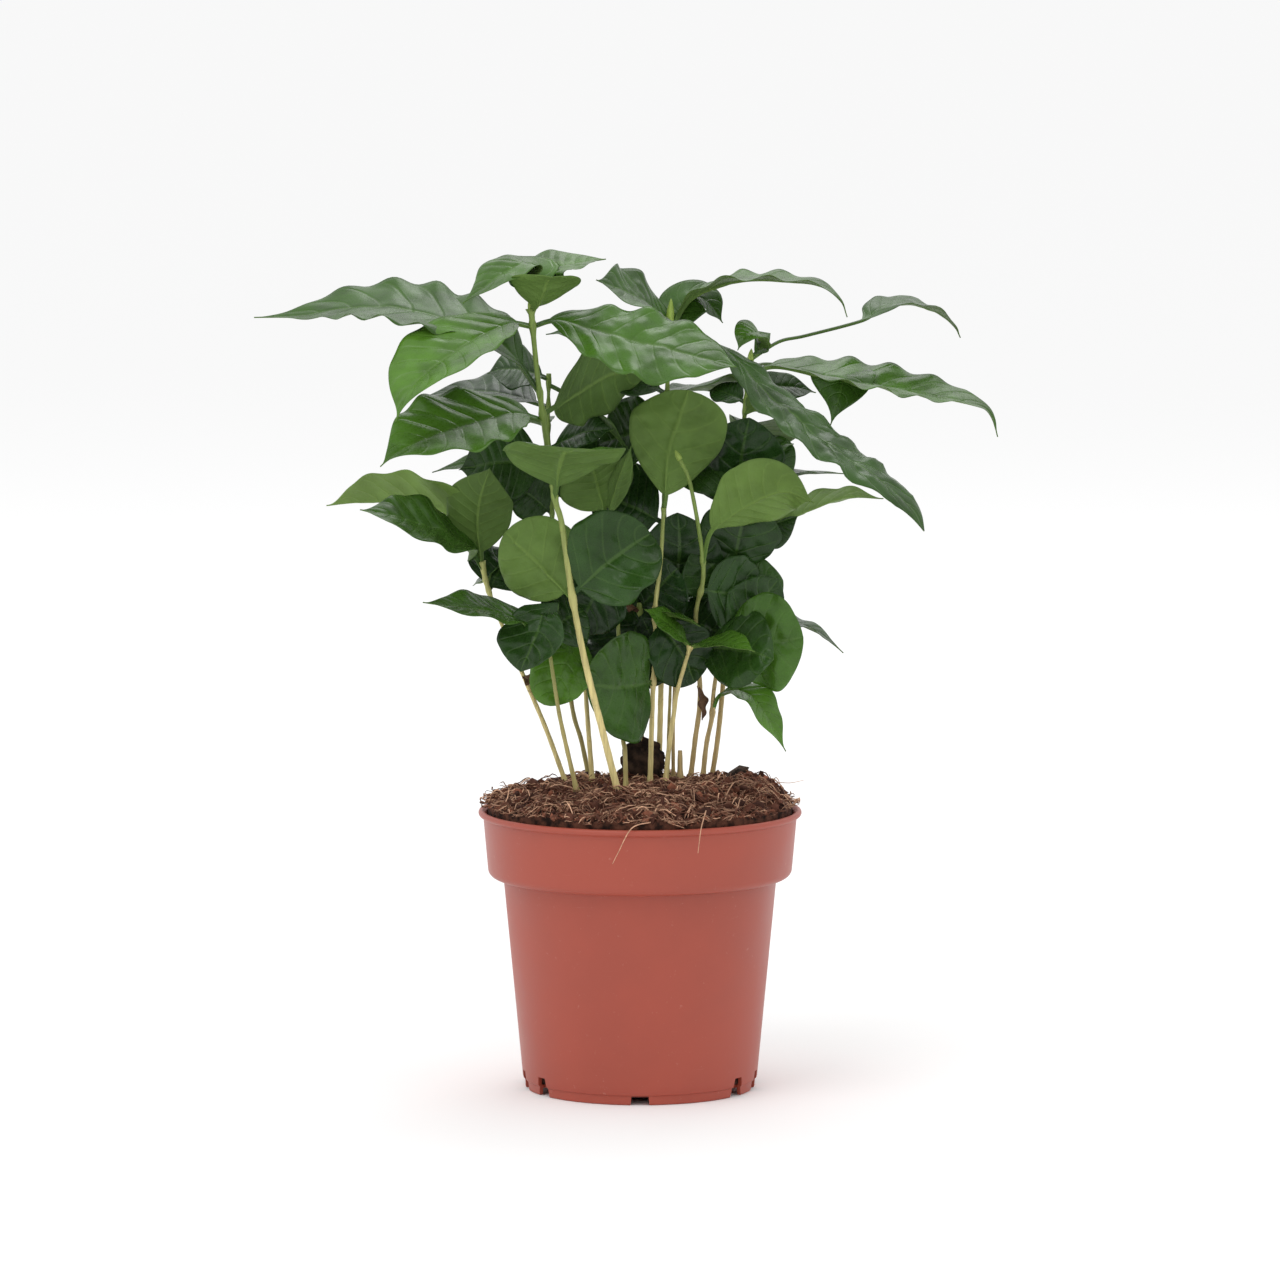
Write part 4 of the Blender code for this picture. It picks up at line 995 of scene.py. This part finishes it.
def leaf_outline(share, roundness, peak):
    """Half width as a share of the largest: the sine of a power of the share, raised to a power that
    grows towards the tip, so that the tip is drawn out; round leaves use lower powers."""
    power = (0.8 - 0.3 * roundness) + 1.15 * (1 - roundness) * share**4
    return np.sin(math.pi * np.clip(share, 0, 1) ** peak) ** power


def leaf_midrib(spec, rows):
    """Midrib points from the node on the stem to the tip: a smooth curve through the given points, or
    a quadratic curve that arches towards the upper side."""
    stem_name, node_z, reach, _, face, arch = spec[:6]
    path = stem_path(stem_name)
    k = int(np.argmin(np.abs(path[:, 2] - RIM_Z - node_z * MM)))
    node = path[k]
    if isinstance(reach[0], tuple):
        points = np.array(reach, float) * MM + (0, 0, RIM_Z)
        return smooth_path(np.vstack([node, points]), rows)
    tip = node + np.array(reach, float) * MM
    middle = 0.5 * (node + tip) + 2 * arch * MM * unit(face)
    t = np.linspace(0, 1, rows)[:, None]
    return (1 - t) ** 2 * node + 2 * t * (1 - t) * middle + t * t * tip


def leaf_sheets(name, spec, seed, rows, columns, thickness):
    """Upper and lower sheets of one leaf, each (rows, columns, 3), and its map.

    Across the midrib, a point lies at v (-1 to 1) times the half width along the side direction,
    lifted by a fold and a cup, a wave that grows to the margin, and a pillow between side veins."""
    _, _, _, width, face, _, wave, petiole, roundness, _ = spec
    rng = np.random.default_rng(seed)
    centre = leaf_midrib(spec, rows)
    along = unit(np.gradient(centre, axis=0))
    length = float(np.linalg.norm(np.diff(centre, axis=0), axis=1).sum())
    peak, fold = SHAPES.get(name, (0.86 + 0.1 * roundness, rng.uniform(0.02, 0.1)))

    t = np.linspace(0, 1, rows)[:, None]
    spread = np.linspace(-1, 1, columns)[None]
    v = np.sign(spread) * np.abs(spread) ** 1.25
    a = np.abs(v)
    side = unit(np.cross(along, unit(face)))
    up = np.cross(side, along)
    s = np.clip((t - petiole) / (1 - petiole), 0, 1)
    full = width * MM / 2
    slim = 1.12 - petiole
    stalk = (0.5 + 0.01 * width) * slim * MM
    half = np.maximum(full * leaf_outline(s, roundness, peak), stalk * (1 - s) + 0.12 * MM)
    wide = half / full

    blade = length * (1 - petiole) / MM
    sway = rng.uniform(-0.03, 0.03) * (1 + roundness) * length * np.sin(math.pi * s)
    wobble = lattice_noise(s * 5 + 7 * rng.random(), v * 1.5 + 9, 1.0, seed)
    uneven = 1 + rng.uniform(-0.06, 0.06) * np.sign(v) + (0.04 + 0.08 * roundness) * wobble * a
    lateral = v * half * uneven + sway
    cup = rng.uniform(0.02, 0.10) + roundness * rng.uniform(-0.28, 0.2)
    lift = half * (fold * a + cup * a**2)
    count = max(2.0, blade / RIPPLE_LENGTH)
    phase = np.where(v < 0, rng.uniform(0, 6), rng.uniform(0, 6))
    taper = np.minimum(1, 3.5 * s) * (1 - s**3)
    ripple = np.sin(2 * math.pi * count * (s - 0.07 * a) + phase)
    lift = lift + wave * MM * ripple * a**2 * taper * wide**0.7
    pairs = PAIRS_ROUND if roundness > ROUND_LEAF else PAIRS_LONG
    step = pairs * s - VEIN_SWEEP * PAIRS_LONG * a**1.25
    pillow = np.sqrt(0.02 + np.sin(math.pi * step) ** 2)
    bulge = (0.024 - 0.008 * roundness) * width * MM
    lift = lift + bulge * pillow * wide * np.sqrt(a) * (1 - a**3) * np.minimum(1, 8 * s)
    blister = sum(share * lattice_noise(lateral, s * length, cell, seed + k)
                  for k, (cell, share) in enumerate(BLISTERS, 1))
    lift = lift + (0.5 + 2.1 * roundness) * MM * blister * np.minimum(1, 5 * s) * wide
    groove = np.exp(-((lateral - sway) / GROOVE[0]) ** 2) * np.minimum(1, 6 * s)
    lift = lift - GROOVE[1] * groove * (1 - 0.7 * s)
    upper = centre[:, None] + side[:, None] * lateral[..., None] + up[:, None] * lift[..., None]
    rib = np.exp(-((lateral - sway) / RIB[0]) ** 2) * (RIB[1] * slim * (1 - s) ** 1.3 + 0.1) * MM
    edge_round = np.sqrt(np.clip(1 - a**8, 0, 1))
    below = thickness * (0.25 + 0.75 * edge_round) + rib * edge_round
    lower = upper - up[:, None] * below[..., None]
    chart = np.stack([s * pairs / PAIRS_LONG * np.ones_like(a), 0.5 + 0.5 * v * np.ones_like(s)], -1)
    return upper, lower, chart


def leaf_mesh(upper, lower, chart):
    """Points, quads, quad materials and map of a closed blade: both sheets and a rim round them."""
    rows, columns = upper.shape[:2]
    size = rows * columns
    points = np.concatenate([upper.reshape(-1, 3), lower.reshape(-1, 3)])
    index = np.arange(size).reshape(rows, columns)
    ring = np.concatenate([index[0, :], index[1:, -1], index[-1, -2::-1], index[-2:0:-1, 0]])
    after = np.roll(ring, -1)
    rim = np.stack([ring, after, after + size, ring + size], -1)
    top = grid_faces(rows, columns)
    bottom = grid_faces(rows, columns, size, flip=True)
    faces = np.concatenate([top, bottom, rim[:, ::-1]])
    kinds = np.concatenate([np.zeros(len(top)), np.ones(len(bottom)), np.ones(len(rim))])
    return points, faces, kinds, np.concatenate([chart.reshape(-1, 2)] * 2)


def make_leaf(prefix, name, spec, seed, rows, columns, thickness, materials):
    """One leaf as a closed blade; its tone is kept as an attribute of the points."""
    upper, lower, chart = leaf_sheets(name, spec, seed, rows, columns, thickness)
    points, faces, kinds, uv = leaf_mesh(upper, lower, chart)
    return put_mesh(prefix + name, points, faces, materials, kinds, uv, spec[9])


def make_leaves(looks):
    """The leaves that stand for the frame's leaf nodes."""
    materials = foliage_materials(looks)
    for k, (name, spec) in enumerate(LEAVES.items()):
        item = make_leaf("v_", name, spec, LEAF_SEED + k, looks.rows, looks.columns, looks.thickness,
                         materials)
        finish_piece(item, CAD_SLOTS[name], name)


def make_small_leaves(looks):
    """The small and hidden leaves, on a coarser grid, and the dried ones."""
    materials = foliage_materials(looks)
    for k, (name, spec) in enumerate(SMALL_LEAVES.items()):
        item = make_leaf("leaf_small_", name, spec, SMALL_LEAF_SEED + k, looks.rows * 2 // 3,
                         looks.columns * 2 // 3, looks.thickness, materials)
        tone = spec[9]
        finish_piece(item, "leaf_light" if tone > 0.55 else "leaf_green" if tone > 0.3 else "leaf_dark")
    brown = clot_material("Dried leaf", 0.8, 0.3, (0.075, 0.032, 0.018), (0.2, 0.11, 0.06), 180.0,
                          (0.3, 0.7), 0.6, 0.4 * MM)
    for k, (name, spec) in enumerate(DRY_LEAVES.items()):
        item = make_leaf("", name, spec, DRY_LEAF_SEED + k, 40, 16, looks.thickness, [brown, brown])
        finish_piece(item, "bark")


# Buds at the stems' ends: length and radius, mm
BUDS = {"stem_front": (5, 1.1), "stem_back": (9, 1.4), "stem_bud": (4, 1.0), "stem_right": (5, 1.0)}


def make_buds():
    """Pointed buds: tubes that go on from a stem's end, their radius falling with the root of the
    distance to the tip."""
    mat = stem_material("Young bud", (0.30, 0.42, 0.08), (0.30, 0.42, 0.08), 0.0, 0.1)
    for name, (length, radius) in BUDS.items():
        path = stem_path(name)
        along = unit(path[-1] - path[-4])
        share = np.linspace(0, 1, 16)
        centre = path[-1] + along * (share * length * MM - 0.6 * MM)[:, None]
        radii = radius * MM * np.sqrt(np.clip(1 - share, 0.003, 1)) * (1 + 0.35 * np.sin(math.pi * share))
        points, faces = closed_tube(centre, radii, 12)
        finish_piece(put_mesh("bud_" + name, points, faces, [mat], poles=True), "stem_pale")


# ---------------------------------------------------------------- stage

def point_at(item, place, aim):
    """Puts a lamp or camera in place, facing the aim."""
    item.location = place
    item.rotation_euler = (Vector(aim) - Vector(place)).to_track_quat("-Z", "Y").to_euler()
    bpy.context.scene.collection.objects.link(item)


def make_stage(looks):
    """A wide plain floor just under the pot, even light from all round, two large lamps, a camera."""
    corners = np.array([(-1, -1, 0), (1, -1, 0), (1, 1, 0), (-1, 1, 0)]) * FLOOR_HALF
    mat, w = new_material("Studio floor", 0.9, 0.0)
    w.set(w.shader.inputs["Base Color"], looks.floor)
    floor = put_mesh("studio_floor", corners - (0, 0, FLOOR_DROP), np.array([(0, 1, 2, 3)]), [mat],
                     smooth=False)

    scene = bpy.context.scene
    world = bpy.data.worlds.new("Studio")
    world.use_nodes = True
    back = world.node_tree.nodes["Background"]
    back.inputs["Color"].default_value = (1, 1, 1, 1)
    back.inputs["Strength"].default_value = looks.sky
    scene.world = world
    for name, (place, share) in LIGHTS.items():
        light = bpy.data.lights.new(name, "AREA")
        light.size = LIGHT_SIZE
        light.energy = looks.key * share
        point_at(bpy.data.objects.new(name, light), place, LIGHT_AIM)

    camera = bpy.data.cameras.new("camera")
    camera.lens = looks.lens
    camera.sensor_width = 36
    camera.clip_end = 200
    scene.camera = bpy.data.objects.new("camera", camera)
    point_at(scene.camera, (0, -looks.distance, CAMERA_HEIGHT), CAMERA_AIM)
    scene.view_settings.view_transform = "Standard"


# ---------------------------------------------------------------- settings, operators and panel

def colour_property(name, description, default):
    return FloatVectorProperty(name=name, description=description, default=default, size=3,
                               subtype="COLOR", min=0, max=1)


class CoffeePotSettings(bpy.types.PropertyGroup):
    colour: colour_property("Plastic", "Colour of the pot", (0.335, 0.058, 0.033))
    roughness: FloatProperty(name="Roughness", description="How matte the plastic is", default=0.42,
                             min=0, max=1, subtype="FACTOR")
    steps: IntProperty(name="Steps", description="Steps round the pot", default=256, min=32, max=512)


class CoffeeSoilSettings(bpy.types.PropertyGroup):
    peat_dark: colour_property("Peat, dark", "Colour in the hollows", (0.014, 0.006, 0.004))
    peat_light: colour_property("Peat, light", "Colour on the clods", (0.125, 0.048, 0.029))
    crumb_dark: colour_property("Crumb, dark", "Darkest crumbs", (0.034, 0.012, 0.008))
    crumb_light: colour_property("Crumb, light", "Lightest crumbs", (0.27, 0.098, 0.056))
    fibre_dark: colour_property("Fibre, dark", "Darkest fibres", (0.12, 0.038, 0.021))
    fibre_light: colour_property("Fibre, light", "Lightest fibres", (0.84, 0.50, 0.32))
    crumbs: IntProperty(name="Crumbs", description="Number of small crumbs", default=6000, min=0)
    fibres: IntProperty(name="Fibres", description="Number of short fibres", default=4200, min=0)


class CoffeeFoliageSettings(bpy.types.PropertyGroup):
    upper_dark: colour_property("Upper side, old", "Upper side of old leaves", (0.010, 0.033, 0.007))
    upper_young: colour_property("Upper side, young", "Upper side of young leaves", (0.085, 0.205, 0.018))
    vein: colour_property("Vein", "Veins on the upper side", (0.10, 0.19, 0.04))
    under_dark: colour_property("Lower side, old", "Lower side of old leaves", (0.055, 0.108, 0.026))
    under_young: colour_property("Lower side, young", "Lower side of young leaves", (0.145, 0.240, 0.052))
    under_vein: colour_property("Vein below", "Veins on the lower side", (0.17, 0.27, 0.06))
    gloss: FloatProperty(name="Roughness", description="How matte the upper side is", default=0.29,
                         min=0, max=1, subtype="FACTOR")
    stem_base: colour_property("Stem foot", "Pale stems at the soil", (0.70, 0.58, 0.25))
    stem_top: colour_property("Stem top", "All stems high up", (0.20, 0.29, 0.06))
    stem_olive: colour_property("Olive stem", "Olive stems at the soil", (0.42, 0.35, 0.13))
    stem_tan: colour_property("Tan stem", "Tan stems at the soil", (0.54, 0.40, 0.18))
    thickness: FloatProperty(name="Blade", description="Thickness of a blade", default=0.0003,
                             min=0.0001, unit="LENGTH")
    rows: IntProperty(name="Rows", description="Points along a blade", default=84, min=12)
    columns: IntProperty(name="Columns", description="Points across a blade", default=29, min=7)


class CoffeeStudioSettings(bpy.types.PropertyGroup):
    floor: colour_property("Floor", "Colour of the floor", (0.94, 0.94, 0.94))
    sky: FloatProperty(name="Sky", description="Strength of the light from all round", default=1.0, min=0)
    key: FloatProperty(name="Key", description="Power of the main light in watts", default=8, min=0)
    lens: FloatProperty(name="Lens", description="Focal length", default=191, min=1, unit="CAMERA")
    distance: FloatProperty(name="Distance", description="Camera to pot", default=2.5, min=0.1,
                            unit="LENGTH")


class COFFEE_OT_pot(bpy.types.Operator):
    """Turn the nursery pot and cut its drainage notches"""
    bl_idname = "coffee.pot"
    bl_label = "Pot"

    def execute(self, context):
        make_pot(context.scene.coffee_pot)
        return {"FINISHED"}


class COFFEE_OT_soil(bpy.types.Operator):
    """Heap the soil in the pot, with its crumbs, fibres and strands"""
    bl_idname = "coffee.soil"
    bl_label = "Soil"

    def execute(self, context):
        looks = context.scene.coffee_soil
        make_soil(looks)
        make_litter(looks)
        make_strands()
        return {"FINISHED"}


class COFFEE_OT_bark(bpy.types.Operator):
    """Stand the bark flake and lay the small chip in the soil"""
    bl_idname = "coffee.bark"
    bl_label = "Bark"

    def execute(self, context):
        make_bark()
        return {"FINISHED"}


class COFFEE_OT_stems(bpy.types.Operator):
    """Grow the stems and their buds"""
    bl_idname = "coffee.stems"
    bl_label = "Stems"

    def execute(self, context):
        make_stems(context.scene.coffee_foliage)
        make_buds()
        return {"FINISHED"}


class COFFEE_OT_leaves(bpy.types.Operator):
    """Grow the large leaves"""
    bl_idname = "coffee.leaves"
    bl_label = "Leaves"

    def execute(self, context):
        make_leaves(context.scene.coffee_foliage)
        return {"FINISHED"}


class COFFEE_OT_small_leaves(bpy.types.Operator):
    """Grow the small, hidden and dried leaves"""
    bl_idname = "coffee.small_leaves"
    bl_label = "Small leaves"

    def execute(self, context):
        make_small_leaves(context.scene.coffee_foliage)
        return {"FINISHED"}


class COFFEE_OT_stage(bpy.types.Operator):
    """Set the floor, the lights and the camera"""
    bl_idname = "coffee.stage"
    bl_label = "Studio"

    def execute(self, context):
        make_stage(context.scene.coffee_studio)
        return {"FINISHED"}


class COFFEE_PT_panel(bpy.types.Panel):
    """Settings and pieces of the coffee plant"""
    bl_label = "Coffee plant"
    bl_idname = "COFFEE_PT_panel"
    bl_space_type = "VIEW_3D"
    bl_region_type = "UI"
    bl_category = "Coffee plant"

    def draw(self, context):
        layout = self.layout
        for key, group in SETTINGS.items():
            box = layout.box()
            settings = getattr(context.scene, key)
            for label in group.__annotations__:
                box.prop(settings, label)
        for operator in OPERATORS:
            layout.operator(operator.bl_idname)


SETTINGS = {
    "coffee_pot": CoffeePotSettings,
    "coffee_soil": CoffeeSoilSettings,
    "coffee_foliage": CoffeeFoliageSettings,
    "coffee_studio": CoffeeStudioSettings,
}
OPERATORS = (COFFEE_OT_pot, COFFEE_OT_soil, COFFEE_OT_bark, COFFEE_OT_stems, COFFEE_OT_leaves,
             COFFEE_OT_small_leaves, COFFEE_OT_stage)


def register():
    for key, group in SETTINGS.items():
        bpy.utils.register_class(group)
        setattr(bpy.types.Scene, key, PointerProperty(type=group))
    for item in OPERATORS + (COFFEE_PT_panel,):
        bpy.utils.register_class(item)


def unregister():
    for item in (COFFEE_PT_panel,) + OPERATORS[::-1]:
        bpy.utils.unregister_class(item)
    for key, group in SETTINGS.items():
        delattr(bpy.types.Scene, key)
        bpy.utils.unregister_class(group)


def main():
    register()
    bpy.ops.coffee.pot()
    bpy.ops.coffee.soil()
    bpy.ops.coffee.bark()
    bpy.ops.coffee.stems()
    bpy.ops.coffee.leaves()
    bpy.ops.coffee.small_leaves()
    bpy.ops.coffee.stage()


if __name__ == "__main__":
    main()
